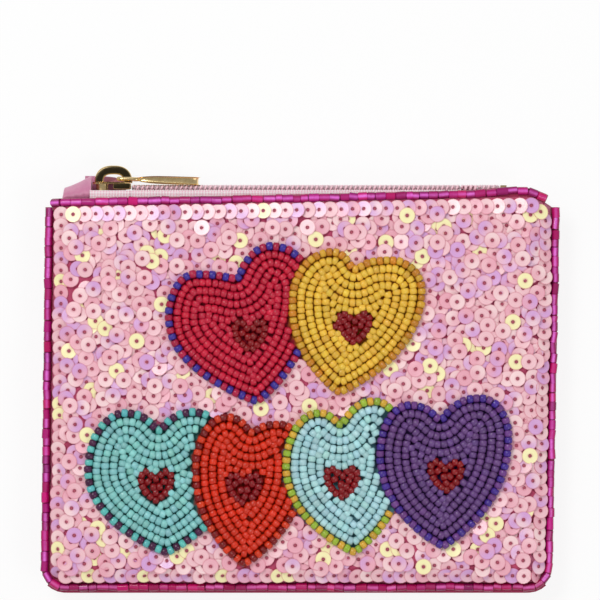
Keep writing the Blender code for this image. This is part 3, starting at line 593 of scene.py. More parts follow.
GLASS_PIT = 0.35 * MM
GLASS_PIT_DEPTH = 0.03 * MM
GLASS_GLOW_DEPTH = 0.8 * MM
GLASS_MIDDLE_LIGHT_SHARE = 0.2
GLASS_CLOUD_SHARE = 0.24
GLASS_LEAST_SHARE = 0.74
MOTIF_WIDTH = 9.6 * MM
MOTIF_PLACES_PX = {"crimson": (250, 334), "yellow": (354, 326), "turquoise": (156, 484), "orange": (244, 487),
                   "pale_blue": (342, 481), "purple": (446, 474)}
MOTIF_MARK_SHARES = {"left": (-0.5, 0.14), "left_top": (-0.27, 0.42), "cleft": (0, 0.24),
                     "right_top": (0.27, 0.42), "right": (0.5, 0.14), "tip": (0, -0.54)}
OUTLINE_LIFT = 0.15 * MM
FILL_STEP = 0.3 * MM
BARE_ROOM = 1.3 * MM
FILL_INSET = 2.6 * MM
COVER_ROOM = 0.3 * MM
CROWD_SHARE = 0.86
MOTIF_RED = tint(134, 8, 18)


def turned(profile, sides):
    """A closed profile of (along, radius) points, turned about the local X axis: (rows, columns, 3)."""
    angles = np.linspace(0, 2 * math.pi, sides, endpoint=False)
    along, radius = np.array(profile).T
    ring = np.stack([np.zeros(sides), np.cos(angles), np.sin(angles)], axis=-1)
    return radius[:, None, None] * ring + along[:, None, None] * np.array((1.0, 0, 0))


def unit(vectors):
    return vectors / np.maximum(np.linalg.norm(vectors, axis=-1, keepdims=True), TINY)


def set_out(shape, centres, along=X_AXIS, up=Z_AXIS, scale=(1.0, 1.0, 1.0)):
    """Copies of a shape: its X axis turned to along, and its Y axis as near as can be to up."""
    along = unit(np.broadcast_to(along, centres.shape))
    side = unit(np.cross(along, up))
    axes = np.stack([along, np.cross(side, along), side], axis=1)
    grid = shape[None] * np.broadcast_to(scale, centres.shape)[:, None, None]
    return np.einsum("nrcl,nlk->nrck", grid, axes) + centres[:, None, None]


def along_path(line, stops, reach):
    """The places at some lengths along a line, and the line's direction at each."""
    lengths = np.concatenate([[0], np.cumsum(np.linalg.norm(np.diff(line, axis=0), axis=1))])
    at, before, after = (
        np.stack([np.interp(np.clip(stops * lengths[-1] + move, 0, lengths[-1]), lengths, line[:, axis])
                  for axis in range(line.shape[1])], axis=-1)
        for move in (0, -reach, reach)
    )
    return at, unit(after - before)


def path_length(line):
    return np.linalg.norm(np.diff(line, axis=0), axis=1).sum()


def spread(path, pitch, start_share=0.0):
    """Places about a pitch apart round a closed path, and the path's direction at each."""
    line = np.concatenate([path, path[:1]])
    count = max(1, round(path_length(line) / pitch))
    return along_path(line, (np.arange(count) + start_share) / count, pitch / 2)


def row_inside(outline, distance):
    """The row at a distance inside an outline: every point moved square in, without those that end up
    nearer to another side. Round the cleft, which points inwards, the row is an arc."""
    before = unit(outline - np.roll(outline, 1, axis=0))
    after = unit(np.roll(outline, -1, axis=0) - outline)
    cleft_angles = np.linspace(0, 1, OUTLINE_STEPS)[:, None]
    cleft_turn = unit(before[:1] * (1 - cleft_angles) + after[:1] * cleft_angles)
    course = np.concatenate([cleft_turn, unit(before + after)[1:]])
    from_points = np.concatenate([np.repeat(outline[:1], OUTLINE_STEPS, axis=0), outline[1:]])
    moved = from_points + distance * np.stack([-course[:, 1], course[:, 0]], axis=-1)
    return moved[edge_distance(moved, outline) > distance - SEED_JITTER]


def laid_rows(outline, outer_pitch, rng):
    """Beads in rows inside an outline until it is full: their places, directions and rows."""
    places = []
    courses = []
    rows = []
    path = row_inside(outline, SEED_RADIUS)
    while len(path) > 2:
        row = len(rows)
        at, course = spread(path, outer_pitch if row == 0 else SEED_PITCH, start_share=rng.random())
        held = edge_distance(at, outline) > SEED_RADIUS / 2 + ROW_PITCH * row
        places.append(at[held])
        courses.append(course[held])
        rows.append(np.full(np.sum(held), row))
        path = row_inside(outline, SEED_RADIUS + ROW_PITCH * len(rows))
    return np.concatenate(places), np.concatenate(courses), np.concatenate(rows)


def seed_rows(name, rng):
    """Every seed bead of a heart: its place, its row's direction, its colour and whether it outlines.

    The outline row is laid first, then the motif and then the field. A bead that has no room beside
    one already laid is left out. Odd beads fill what stays bare, turned as their neighbours are.
    """
    outline = outlines[name]
    fill = tint(*HEART_GLASS[name]["fill"])
    by_turns = np.array([tint(*colour) for colour in HEART_GLASS[name]["row"]])
    middle = front_place(MOTIF_PLACES_PX[name])
    motif = heart_outline({
        mark: middle + MOTIF_WIDTH * np.array(shares) for mark, shares in MOTIF_MARK_SHARES.items()
    })
    places, courses, rows = laid_rows(outline, OUTLINE_SEED_PITCH, rng)
    outer = rows == 0
    field = ~outer & (edge_distance(places, motif) < 0)
    motif_places, motif_courses, _ = laid_rows(motif, SEED_PITCH, rng)
    colours = np.concatenate([
        by_turns[np.arange(np.sum(outer)) % len(by_turns)],
        np.tile(MOTIF_RED, (len(motif_places), 1)),
        np.tile(fill, (np.sum(field), 1)),
    ])
    places = np.concatenate([places[outer], motif_places, places[field]])
    courses = np.concatenate([courses[outer], motif_courses, courses[field]])
    outer = np.arange(len(places)) < np.sum(outer)
    keep = np.ones(len(places), dtype=bool)
    if name in COVERED_BY:
        keep &= edge_distance(places, outlines[COVERED_BY[name]]) < -COVER_ROOM
    apart = np.linalg.norm(places[:, None] - places[None], axis=-1)
    for bead in range(len(places)):
        if np.any(apart[bead, :bead][keep[:bead]] < SEED_PITCH * CROWD_SHARE):
            keep[bead] = False
    places, courses, colours, outer = places[keep], courses[keep], colours[keep], outer[keep]
    low, high = outline.min(axis=0), outline.max(axis=0)
    bare = np.stack(np.meshgrid(*(np.arange(low[axis], high[axis], FILL_STEP) for axis in (0, 1))), axis=-1)
    bare = bare.reshape(-1, 2)
    bare = bare[edge_distance(bare, outline) > FILL_INSET]
    if name in COVERED_BY:
        bare = bare[edge_distance(bare, outlines[COVERED_BY[name]]) < -SEED_RADIUS]
    room = np.linalg.norm(bare[:, None] - places[None], axis=-1).min(axis=1)
    while room.max() > BARE_ROOM:
        found = bare[np.argmax(room)]
        beside = np.argmin(np.linalg.norm(places - found, axis=1))
        in_motif = edge_distance(found[None], motif)[0] > 0
        places = np.concatenate([places, found[None]])
        courses = np.concatenate([courses, courses[beside][None]])
        colours = np.concatenate([colours, np.array((MOTIF_RED if in_motif else fill,))])
        outer = np.append(outer, False)
        room = np.minimum(room, np.linalg.norm(bare - found, axis=1))
    return places, courses, colours, outer


def bead_glass(name, roughness):
    """Moulded bead glass with small pits and random clouds, with painted shade towards the bore at both ends.
    """
    look = Look(name, {
        "Roughness": roughness, "Coat Weight": 0.2, "Coat Roughness": 0.08, "Specular IOR Level": 0.35,
        "Subsurface Weight": 0.35, "Subsurface Scale": GLASS_GLOW_DEPTH, "Subsurface Radius": (1.0, 1.0, 1.0),
    })
    # Painted shade: each bead is brightest across its middle and darker towards its ends.
    lit_middle = (look.uv()[1] * math.pi).sine()
    cloud = look.noise(GLASS_CLOUD)
    glow = lit_middle * GLASS_MIDDLE_LIGHT_SHARE + cloud * GLASS_CLOUD_SHARE + GLASS_LEAST_SHARE
    look.feed("Base Color", look.dim(look.attribute("tone"), glow))
    look.bump(look.noise(GLASS_PIT), GLASS_PIT_DEPTH)
    return look


def mirrored(half_profile):
    """A profile's half from one end to the middle, and the same again backwards to the other end."""
    return half_profile + [(-along, radius) for along, radius in half_profile[::-1] if along]


seed_half = SEED_LENGTH / 2
seed_shape = turned(mirrored([
    (-seed_half, SEED_BORE),
    (-seed_half, SEED_RADIUS * SEED_RIM_SHARE),
    (-seed_half * SEED_SHOULDER_PLACE_SHARE, SEED_RADIUS * SEED_SHOULDER_SHARE),
    (0, SEED_RADIUS),
]), SEED_SIDES)
seed_lines = (np.array(SEED_LINE_SHARES), np.linspace(0, 1, SEED_SIDES + 1))
rng = np.random.default_rng(SEED_DRAWS)
for name in HEART_LANDMARKS_PX:
    places, courses, colours, outer = seed_rows(name, rng)
    count = len(places)
    shade = np.exp(rng.normal(0, SHADE_STRAY, (count, 1)))
    colours[:, :3] *= shade * np.exp(rng.normal(0, HUE_STRAY, (count, 3)))
    lift = np.reshape(MID_Z + CLOTH_DEPTH + SEED_RADIUS + OUTLINE_LIFT * outer, (count, 1))
    centres = np.concatenate([places + rng.normal(0, SEED_JITTER / 2, (count, 2)), lift], axis=1)
    courses = courses + rng.normal(0, SEED_TILT / 2, (count, 2))
    along = np.concatenate([courses, rng.normal(0, SEED_TILT / 2, (count, 1))], axis=1)
    scale = 1 + rng.normal(0, SEED_SIZE_STRAY, (count, 3))
    for part, chosen, roughness, node, slot in (
        ("field", ~outer, FIELD_ROUGHNESS, f"{name}_heart_beads", f"{name}_glass"),
        ("outline", outer, OUTLINE_ROUGHNESS, f"{name}_heart_outline", f"{name}_outline_glass"),
    ):
        seeds = put_mesh(
            f"{name}_{part}_seeds",
            set_out(seed_shape, centres[chosen], along[chosen], scale=scale[chosen]),
            bead_glass(f"{name}_{part}_glass", roughness),
            closed=(True, True),
            lines=seed_lines,
            tones={"tone": colours[chosen]},
            crease=SEED_CREASE,
        )
        fit(seeds, "pouch", slot, node)

# The sequins: flat discs of pearl film 4 mm across, each sewn through its hole. They lie over each
# other like shingles, in orderly rows along the edges and wandering rows inside. Their cream or lilac
# flash is a painted reflection, and the darker rose at each rim and round each hole is painted shade.
SEQUIN_RADIUS = 2.02 * MM
SEQUIN_HOLE = 0.46 * MM
SEQUIN_FILM = 0.11 * MM
SEQUIN_SIDES = 18
SEQUIN_PITCH = 2.68 * MM
SEQUIN_LEAST = 1.8 * MM
SEQUIN_STRAY_SHARE = 0.33
SEQUIN_BARE = 2.45 * MM
SEQUIN_FILL_STEP = 0.7 * MM
SEQUIN_CREASE = math.radians(30)
HEART_ROW_INSET = 1.0 * MM
HEART_ROW_STEP = 2.8 * MM
EDGE_ROW_INSET = 2.6 * MM
EDGE_ROW_SHIFT = 0.3 * MM
EDGE_ROW_PITCH = 2.75 * MM
TOP_ROW_INSET = 2.0 * MM
TOP_RIGHT_DROP = 1.5 * MM
TOP_RIGHT_CUT = 3.0 * MM
ROW_ROOM_SHARE = 0.7
HEART_ROOM = 0.85 * MM
STACK_GAP = 0.24 * MM
SETTLE_ROUNDS = 260
SPACING_ROUNDS = 14
NUDGE_SHARE = 0.32
MOST_SLOPE = 0.36
TOUCH_RADII = 1.96
TOUCH_WIDE_SHARE = 0.8
TOUCH_DEEP_SHARE = 0.9
PUSH_SHARE = 0.30
SLOPE_KEPT_SHARE = 0.995
DRAWN_SHARE = 0.01
RIM_HELD_SHARE = 0.8
GROUND_SLOPE_SHARE = 0.8
SLOPE_STEP = 0.1 * MM
SEQUIN_DRAWS = 23


def sequin_room(places):
    """How far a place lies inside the room that sequin centres may take."""
    x, y = places.T
    beside = np.stack([
        CLOTH_HALF_WIDTH - EDGE_ROW_INSET - np.abs(x - EDGE_ROW_SHIFT) / lean_share(x, y),
        y - CLOTH_BOTTOM_Y - EDGE_ROW_INSET,
        mouth_y(x) - TOP_ROW_INSET - y,
    ]).min(axis=0)
    for outline in outlines.values():
        beside = np.minimum(beside, -edge_distance(places, outline) - HEART_ROOM)
    return beside


def spaced(places, fixed):
    """Places nudged apart where they are too close to each other, for wandering rows."""
    for _ in range(SPACING_ROUNDS):
        everyone = np.concatenate([places, fixed])
        apart = places[:, None] - everyone[None]
        distance = np.linalg.norm(apart, axis=-1)
        distance[distance == 0] = 1
        push = np.maximum(0, SEQUIN_LEAST - distance)[..., None] * apart / distance[..., None]
        moved = places + NUDGE_SHARE * push.sum(axis=1)
        held = sequin_room(moved) > 0
        places = np.where(held[:, None], moved, places)
    return places


def settled(places, order):
    """The lift and slope of each disc over the cloth, once the discs rest on each other.

    At five points where two discs overlap, the one sewn later is pushed up and the earlier one down
    until they clear. Between pushes the thread draws every disc down, and the cloth holds its rim up.
    """
    apart = places[None] - places[:, None]
    distance = np.linalg.norm(apart, axis=-1)
    lower, upper = np.nonzero((distance < TOUCH_RADII * SEQUIN_RADIUS) & (order[:, None] < order[None]))
    middle = (places[lower] + places[upper]) / 2
    reach = distance[lower, upper] / 2
    axis = unit(places[upper] - places[lower])
    square = np.stack([-axis[:, 1], axis[:, 0]], axis=-1)
    wide = TOUCH_WIDE_SHARE * np.sqrt(SEQUIN_RADIUS**2 - reach**2)[:, None] * square
    deep = TOUCH_DEEP_SHARE * (SEQUIN_RADIUS - reach)[:, None] * axis
    touch = np.stack([middle, middle + wide, middle - wide, middle + deep, middle - deep])
    from_upper = touch - places[upper]
    from_lower = touch - places[lower]
    turning = SEQUIN_RADIUS**2 / 4
    weight = 2 + (np.sum(from_upper**2, axis=-1) + np.sum(from_lower**2, axis=-1)) / turning
    lift = np.full(len(places), SEQUIN_FILM)
    slope = np.zeros((len(places), 2))
    for _ in range(SETTLE_ROUNDS):
        gap = (lift[upper] + np.sum(slope[upper] * from_upper, axis=-1)
               - lift[lower] - np.sum(slope[lower] * from_lower, axis=-1))
        push = PUSH_SHARE * np.maximum(0, STACK_GAP - gap) / weight
        change = np.zeros_like(lift)
        turn = np.zeros_like(slope)
        for point in range(len(touch)):
            np.add.at(change, upper, push[point])
            np.add.at(change, lower, -push[point])
            np.add.at(turn, upper, push[point][:, None] * from_upper[point] / turning)
            np.add.at(turn, lower, -push[point][:, None] * from_lower[point] / turning)
        lift += change
        slope = (slope + turn) * SLOPE_KEPT_SHARE
        lift -= DRAWN_SHARE * (lift - SEQUIN_FILM)
        steep = np.linalg.norm(slope, axis=-1)
        slope *= np.minimum(1, MOST_SLOPE / np.maximum(steep, TINY))[:, None]
        rim_lift = SEQUIN_RADIUS * np.linalg.norm(slope, axis=-1) * RIM_HELD_SHARE
        lift += np.maximum(0, SEQUIN_FILM + rim_lift - lift) / 2
    return lift, slope


rng = np.random.default_rng(SEQUIN_DRAWS)
side_x = CLOTH_HALF_WIDTH - EDGE_ROW_INSET
low_y = CLOTH_BOTTOM_Y + EDGE_ROW_INSET
cut_x = side_x - TOP_RIGHT_CUT
border = np.array((
    (-side_x, mouth_y(-side_x) - TOP_ROW_INSET),
    (-side_x, low_y),
    (side_x, low_y),
    (side_x, mouth_y(side_x) - TOP_ROW_INSET - TOP_RIGHT_DROP),
    (cut_x, mouth_y(cut_x) - TOP_ROW_INSET),
))
border[:, 0] = border[:, 0] * lean_share(border[:, 0], border[:, 1]) + EDGE_ROW_SHIFT
border_row, _ = spread(border, EDGE_ROW_PITCH)
heart_rows = np.concatenate([
    spread(row_inside(outline, -HEART_ROW_INSET), HEART_ROW_STEP)[0] for outline in outlines.values()
])
heart_rows = heart_rows[sequin_room(heart_rows) > 0]
sewn_rows = border_row
for place in heart_rows:
    if np.linalg.norm(sewn_rows - place, axis=1).min() > SEQUIN_LEAST:
        sewn_rows = np.concatenate([sewn_rows, place[None]])
columns = np.arange(-side_x, side_x, SEQUIN_PITCH)
rows = np.arange(low_y, CLOTH_TOP_Y, SEQUIN_PITCH * math.sqrt(3) / 2)
lattice = np.stack(np.meshgrid(columns, rows), axis=-1)
lattice[1::2, :, 0] += SEQUIN_PITCH / 2
lattice = lattice.reshape(-1, 2)
lattice = lattice + rng.normal(0, SEQUIN_STRAY_SHARE * SEQUIN_PITCH, lattice.shape)
lattice = lattice[sequin_room(lattice) > 0]
from_rows = np.linalg.norm(lattice[:, None] - sewn_rows[None], axis=-1).min(axis=1)
inner = spaced(lattice[from_rows > SEQUIN_PITCH * ROW_ROOM_SHARE], sewn_rows)
# More are sewn wherever the cloth would show too much.
bare = np.stack(np.meshgrid(np.arange(-side_x, side_x, SEQUIN_FILL_STEP),
                            np.arange(low_y, CLOTH_TOP_Y, SEQUIN_FILL_STEP)), axis=-1).reshape(-1, 2)
bare = bare[sequin_room(bare) > 0]
discs = np.concatenate([sewn_rows, inner])
room = np.linalg.norm(bare[:, None] - discs[None], axis=-1).min(axis=1)
while room.max() > SEQUIN_BARE:
    found = bare[np.argmax(room)]
    inner = np.concatenate([inner, found[None]])
    room = np.minimum(room, np.linalg.norm(bare - found, axis=1))
discs = np.concatenate([sewn_rows, inner])
border_count = len(border_row)
order = np.concatenate([np.arange(border_count) / border_count, rng.random(len(discs) - border_count)])
lift, slope = settled(discs, order)
disc_x, disc_y = discs.T
ground_lift = face_lift(disc_x, disc_y)
ground_slope = np.stack([
    face_lift(disc_x + SLOPE_STEP, disc_y) - face_lift(disc_x - SLOPE_STEP, disc_y),
    face_lift(disc_x, disc_y + SLOPE_STEP) - face_lift(disc_x, disc_y - SLOPE_STEP),
], axis=-1) / (2 * SLOPE_STEP)
tip = ground_slope * GROUND_SLOPE_SHARE + slope
normal = unit(np.concatenate([-tip, np.ones((len(discs), 1))], axis=1))
cloth_normal = unit(np.concatenate([-ground_slope, np.ones((len(discs), 1))], axis=1))
centres = np.concatenate([discs, (MID_Z + ground_lift)[:, None]], axis=1) + cloth_normal * lift[:, None]
spin = rng.random(len(discs)) * 2 * math.pi
spin_axis = np.stack([np.cos(spin), np.sin(spin), np.zeros(len(discs))], axis=-1)
film = SEQUIN_FILM / 2
sequin_shape = turned([
    (-film, SEQUIN_HOLE), (-film, SEQUIN_RADIUS), (film, SEQUIN_RADIUS), (film, SEQUIN_HOLE),
], SEQUIN_SIDES)
hole_share = SEQUIN_HOLE / SEQUIN_RADIUS
sequin_lines = (np.array((hole_share, 1.0, 1.0, hole_share, hole_share)), np.linspace(0, 1, SEQUIN_SIDES + 1))
PEARL_PINK = tint(246, 196, 204)
PEARL_ROSE = tint(240, 172, 188)
PEARL_CREAM = tint(255, 246, 188)
PEARL_LILAC = tint(218, 164, 218)
PEARL_WHITE = tint(252, 216, 218)
PEARL_SHARES = (0.56, 0.2, 0.08, 0.16)
FLASH_SHARES = (0.4, 0.24, 0.2, 0.16)
RING_PITCH_SHARE = 0.2
RING_DEPTH = 0.02 * MM
FLASH_PITCH = 5.3 * MM
FLASH_STRAY = 0.5
CREAM_OVER = 0.95
LILAC_UNDER = -0.75
FLASH_FULL_SHARE = 0.8
RIM_FROM_SHARE = 0.89
RIM_STEEPNESS = 9.0
EYE_TO_SHARE = 0.42
EYE_STEEPNESS = 8.0
HOLE_SHADE_SHARE = 0.5
RIM_SHADE_SHARE = 0.68
FILM_TONE_SHARE = 1.1
RING_TONE_SHARE = 0.07
pearl_tones = np.array((PEARL_PINK, PEARL_ROSE, PEARL_LILAC, PEARL_WHITE))
tone = pearl_tones[rng.choice(len(pearl_tones), len(discs), p=PEARL_SHARES)]
painted_flash = pearl_tones[rng.choice(len(pearl_tones), len(discs), p=FLASH_SHARES)]
# Painted reflection in patches: whole discs painted cream, as film tipped towards the light would flash, or
# lilac.
bands = np.sin(2 * disc_x / FLASH_PITCH + np.sin(disc_y / FLASH_PITCH))
flash_patches = bands * np.sin(3 * disc_y / FLASH_PITCH) + rng.normal(0, FLASH_STRAY, len(discs))
tone[flash_patches > CREAM_OVER] = PEARL_CREAM
painted_flash[flash_patches > CREAM_OVER] = PEARL_CREAM
tone[flash_patches < LILAC_UNDER] = PEARL_LILAC
pearl = Look("pearl_film", {
    "Roughness": 0.3, "Coat Weight": 0.5, "Coat Roughness": 0.12, "Specular IOR Level": 0.6,
})
around, out = pearl.uv()
# Painted shade: darker rose at each disc's rim, where the discs overlap, and round its hole.
rim = ((out - RIM_FROM_SHARE) * RIM_STEEPNESS).within()
eye = ((EYE_TO_SHARE - out) * EYE_STEEPNESS).within()
rings = out.wave(RING_PITCH_SHARE)
# Painted reflection: each disc's flash colour is painted over one side of it.
painted_flash_share = around.wave(1) * FLASH_FULL_SHARE
painted_shade_share = (rim + eye * HOLE_SHADE_SHARE).within() * RIM_SHADE_SHARE
film_colour = pearl.mix(painted_flash_share, pearl.attribute("tone"), pearl.attribute("painted_flash"))
film_colour = pearl.mix(painted_shade_share, film_colour, tint(208, 92, 122))
pearl.feed("Base Color", pearl.dim(film_colour, FILM_TONE_SHARE - rings * RING_TONE_SHARE))
pearl.bump(rings, RING_DEPTH)
sequins = put_mesh("pearl_sequins", set_out(sequin_shape, centres, normal, spin_axis), pearl,
                   closed=(True, True), lines=sequin_lines, tones={"tone": tone, "painted_flash": painted_flash},
                   crease=SEQUIN_CREASE)
fit(sequins, "pouch", "pink_sequin", "sequin_field")

# The thread that holds each sequin: a dark rose stitch, seen as a knot in the hole.
KNOT_RADIUS = 0.5 * MM
KNOT_HEIGHT = 0.16 * MM
KNOT_SIDES = 8
KNOT_RADIUS_SHARES = (0.3, 1.0, 1.0, 0.55, 0.1)
KNOT_HEIGHT_SHARES = (-1, -1, 0, 1, 1)
THREAD_GRAIN = 0.25 * MM
THREAD_DEPTH = 0.08 * MM
knot_shape = turned([
    (KNOT_HEIGHT * up_share, KNOT_RADIUS * out_share)
    for up_share, out_share in zip(KNOT_HEIGHT_SHARES, KNOT_RADIUS_SHARES)
], KNOT_SIDES)
thread = Look("rose_thread", {"Roughness": 0.7, "Sheen Weight": 0.4})
strand = thread.noise(THREAD_GRAIN)
thread.feed("Base Color", thread.mix(strand, tint(150, 40, 66), tint(214, 104, 130)))
thread.bump(strand, THREAD_DEPTH)
knot_centres = centres - normal * (film + KNOT_HEIGHT)
knots = put_mesh("sequin_knots", set_out(knot_shape, knot_centres, normal, spin_axis), thread,
                 closed=(True, True))
fit(knots, "pouch", "pink_cloth")

# The tube beads: one row of cut magenta glass tubes, strung end to end round the whole edge of the
# front. They sit by hand's eye, so no two line up quite alike. Between them shows their doubled
# thread, and beside them the cloth binding of the edge that they are sewn to.
TUBE_RADIUS = 1.0 * MM
TUBE_LENGTH = 2.44 * MM
TUBE_BORE = 0.55 * MM
TUBE_THREAD_RADIUS = 0.54 * MM
TUBE_THREAD_SIDES = 10
BOTTOM_OUT = 0.6 * MM
BINDING_HALF_WIDTH = 1.5 * MM
BINDING_HALF_HEIGHT = 0.4 * MM
BINDING_DROP = 0.75 * MM
BINDING_SIDES = 16
BINDING_POWER = 3.0
BINDING_SHIFT = 0.55 * MM
BINDING_COURSES = {"left": (1.0, 0, 0), "right": (-1.0, 0, 0), "top": (0, -1.0, 0), "bottom": (0, 0, 0)}
TUBE_CHAMFER = 0.16 * MM
TUBE_SIDES = 14
TUBE_PITCH = 2.46 * MM
TUBE_OUT = 0.6 * MM
TUBE_LIFT = 2.7 * MM
TUBE_DRAWS = 31
TUBE_JITTER = 0.08 * MM
TUBE_JITTER_SHARES = (1, 1, 0.3)
TUBE_TILT = 0.05
TUBE_LENGTH_STRAY = 0.13
TUBE_GIRTH_STRAY = 0.04
TUBE_TONE_STRAY = 0.14
TUBE_CREASE = math.radians(35)
TUBE_CLOUD = 0.8 * MM
TUBE_RIPPLE = 0.5 * MM
TUBE_RIPPLE_DEPTH = 0.03 * MM
HIGHLIGHT_POWER = 26.0
TOP_LIGHT_POWER = 2.0
TOP_LIGHT_SHARE = 0.7
MIDDLE_LIGHT_SHARE = 0.2
LEAST_TONE_SHARE = 0.2
CORNER_POINTS = 6
CORD_GRAIN = 0.3 * MM
SIDE_TOP_Y = 43.1 * MM
MOUTH_POINTS = 90
MOUTH_OUT = 1.1 * MM
MOUTH_DIP = 0.3 * MM
MOUTH_INSET = 1.2 * MM
MOUTH_SHIFT = 0.9 * MM
MOUTH_HUMP = 0.5 * MM
MOUTH_HUMP_X = 51.0 * MM
MOUTH_HUMP_REACH = 5.0 * MM
TUBE_MAGENTA = tint(170, 2, 98)
TUBE_HIGHLIGHT_LILAC = tint(246, 120, 232)
BOTTOM_SHADE_SHARES = (0.95, 0.9, 0.7)
tube_half = TUBE_LENGTH / 2
tube_shape = turned(mirrored([
    (-tube_half, TUBE_BORE),
    (-tube_half, TUBE_RADIUS - TUBE_CHAMFER),
    (TUBE_CHAMFER - tube_half, TUBE_RADIUS),
]), TUBE_SIDES)
magenta = Look("magenta_glass", {
    "Roughness": 0.2, "Coat Weight": 0.15, "Coat Roughness": 0.1, "IOR": 1.5, "Specular IOR Level": 0.3,
})
# Painted light on each tube: a painted highlight streak in lilac along its top, and painted shade towards its
# sides and ends.
around, along = magenta.uv()
middle = (along * math.pi).sine()
lit_top = (around * (2 * math.pi) + math.pi / 2).sine() * 0.5 + 0.5
painted_streak = (lit_top**HIGHLIGHT_POWER * (magenta.noise(TUBE_CLOUD) + 0.5) * middle).within()
glow = lit_top**TOP_LIGHT_POWER * TOP_LIGHT_SHARE + middle * MIDDLE_LIGHT_SHARE + LEAST_TONE_SHARE
glass = magenta.dim(magenta.attribute("tone"), glow)
magenta.feed("Base Color", magenta.mix(painted_streak, glass, magenta.attribute("painted_highlight")))
magenta.bump(magenta.noise(TUBE_RIPPLE), TUBE_RIPPLE_DEPTH)
cord_look = Look("magenta_thread", {"Roughness": 0.7, "Sheen Weight": 0.3})
cord_grain = cord_look.noise(CORD_GRAIN)
cord_look.feed("Base Color", cord_look.mix(cord_grain, tint(136, 14, 58), tint(184, 34, 92)))
corner = CORNER_RADIUS + TUBE_OUT
side_x = CLOTH_HALF_WIDTH + TUBE_OUT
low_y = CLOTH_BOTTOM_Y - BOTTOM_OUT
turn = np.linspace(0, math.pi / 4, CORNER_POINTS)


def swept(path, section, up):
    """A section of (over, aside) points carried along a path, square to it: (points, section, 3)."""
    course = unit(np.gradient(path, axis=0))
    side = unit(np.cross(course, up))
    over = np.cross(side, course)
    return path[:, None] + section[None, :, :1] * over[:, None] + section[None, :, 1:] * side[:, None]


def oval(over, aside, sides, power=2.0):
    """A closed section: a circle, an oval, or with a higher power a rectangle with round corners."""
    angles = np.linspace(0, 2 * math.pi, sides, endpoint=False)
    wave = np.stack([np.cos(angles), np.sin(angles)], axis=-1)
    return np.sign(wave) * np.abs(wave) ** (2 / power) * np.array((over, aside))


def rod(name, path, section, up, look):
    """A piece with one section all along a path, and both of its ends closed."""
    return put_mesh(name, swept(path, section, up)[None], look, caps=True)


def seam_line(x, y):
    """Points just outside the seam on its front side, leaned as the purse leans."""
    x = np.asarray(x, dtype=float)
    return np.stack([x * lean_share(x, y), y, np.full(len(x), MID_Z + TUBE_LIFT)], axis=-1)


def seam_corner(angles, side):
    """Points round a lower corner, from the side (angle 0) towards the bottom."""
    x = side * (side_x - corner * (1 - np.cos(angles)))
    return seam_line(x, low_y + corner * (1 - np.sin(angles)))


mouth_turn = np.linspace(-math.pi / 2, math.pi / 2, MOUTH_POINTS)
mouth_x = (CLOTH_HALF_WIDTH - MOUTH_INSET) * np.sin(mouth_turn) - MOUTH_SHIFT
hump = MOUTH_HUMP * np.exp(-((mouth_x - MOUTH_HUMP_X) / MOUTH_HUMP_REACH) ** 2)
dip = MOUTH_DIP * np.maximum(0, 1 - (mouth_x / CLOTH_HALF_WIDTH) ** 2)
mouth_rise = mouth_y(mouth_x) + MOUTH_OUT + hump - dip
mouth_lift = TUBE_LIFT + (CLOTH_DEPTH - TUBE_LIFT) * roll_share(CLOTH_HALF_WIDTH - np.abs(mouth_x), SIDE_ROLL)
edge_paths = {
    "left": np.concatenate([seam_line([-side_x], np.array([SIDE_TOP_Y])), seam_corner(turn, -1)]),
    "right": np.concatenate([seam_line([side_x], np.array([SIDE_TOP_Y])), seam_corner(turn, 1)]),
    "bottom": np.concatenate([seam_corner(math.pi / 2 - turn, -1)[::-1], seam_corner(math.pi / 2 - turn, 1)]),
    "top": np.stack([mouth_x * lean_share(mouth_x, mouth_rise), mouth_rise, MID_Z + mouth_lift], axis=-1),
}
rng = np.random.default_rng(TUBE_DRAWS)
for name, path in edge_paths.items():
    count = round(path_length(path) / TUBE_PITCH)
    share = 1 + rng.normal(0, TUBE_LENGTH_STRAY, count)
    share = share / share.sum()
    at, course = along_path(path, np.cumsum(share) - share / 2, TUBE_PITCH / 2)
    at = at + rng.normal(0, TUBE_JITTER, (count, 3)) * TUBE_JITTER_SHARES
    course = course + rng.normal(0, TUBE_TILT, (count, 3))
    scale = 1 + rng.normal(0, TUBE_GIRTH_STRAY, (count, 3))
    scale[:, 0] = share * path_length(path) / TUBE_PITCH
    tone = np.tile(TUBE_MAGENTA, (count, 1))
    tone_stray = rng.normal(0, TUBE_TONE_STRAY, (count, 3)) + rng.normal(0, TUBE_TONE_STRAY, (count, 1))
    tone[:, :3] *= np.exp(tone_stray)
    # Each tube's painted highlight colour, somewhere between its magenta and lilac.
    highlight_share = rng.random((count, 1))
    painted_highlight = tone * (1 - highlight_share) + np.array(TUBE_HIGHLIGHT_LILAC) * highlight_share
    # The bottom row is painted darker and redder, as painted shade along the bottom edge.
    if name == "bottom":
        tone[:, :3] *= BOTTOM_SHADE_SHARES
        painted_highlight[:, :3] *= BOTTOM_SHADE_SHARES
    tubes = put_mesh(f"{name}_tube_beads", set_out(tube_shape, at, course, scale=scale), magenta,
                     closed=(True, True), tones={"tone": tone, "painted_highlight": painted_highlight}, crease=TUBE_CREASE)
    fit(tubes, "pouch", "magenta_glass", f"{name}_edge_beads")
    thread_path, _ = along_path(path, np.linspace(0, 1, count), 0)
    thread_section = oval(TUBE_THREAD_RADIUS, TUBE_THREAD_RADIUS, TUBE_THREAD_SIDES)
    fit(rod(f"{name}_tube_thread", thread_path, thread_section, Z_AXIS, cord_look), "pouch", "pink_cloth")
    edge_path, _ = along_path(path, np.linspace(0, 1, 2 * count), 0)
    edge_path = edge_path + BINDING_SHIFT * np.array(BINDING_COURSES[name]) - BINDING_DROP * Z_AXIS
    edge_section = oval(BINDING_HALF_HEIGHT, BINDING_HALF_WIDTH, BINDING_SIDES, BINDING_POWER)
    fit(rod(f"{name}_edge_binding", edge_path, edge_section, Z_AXIS, cord_look), "pouch", "pink_cloth")
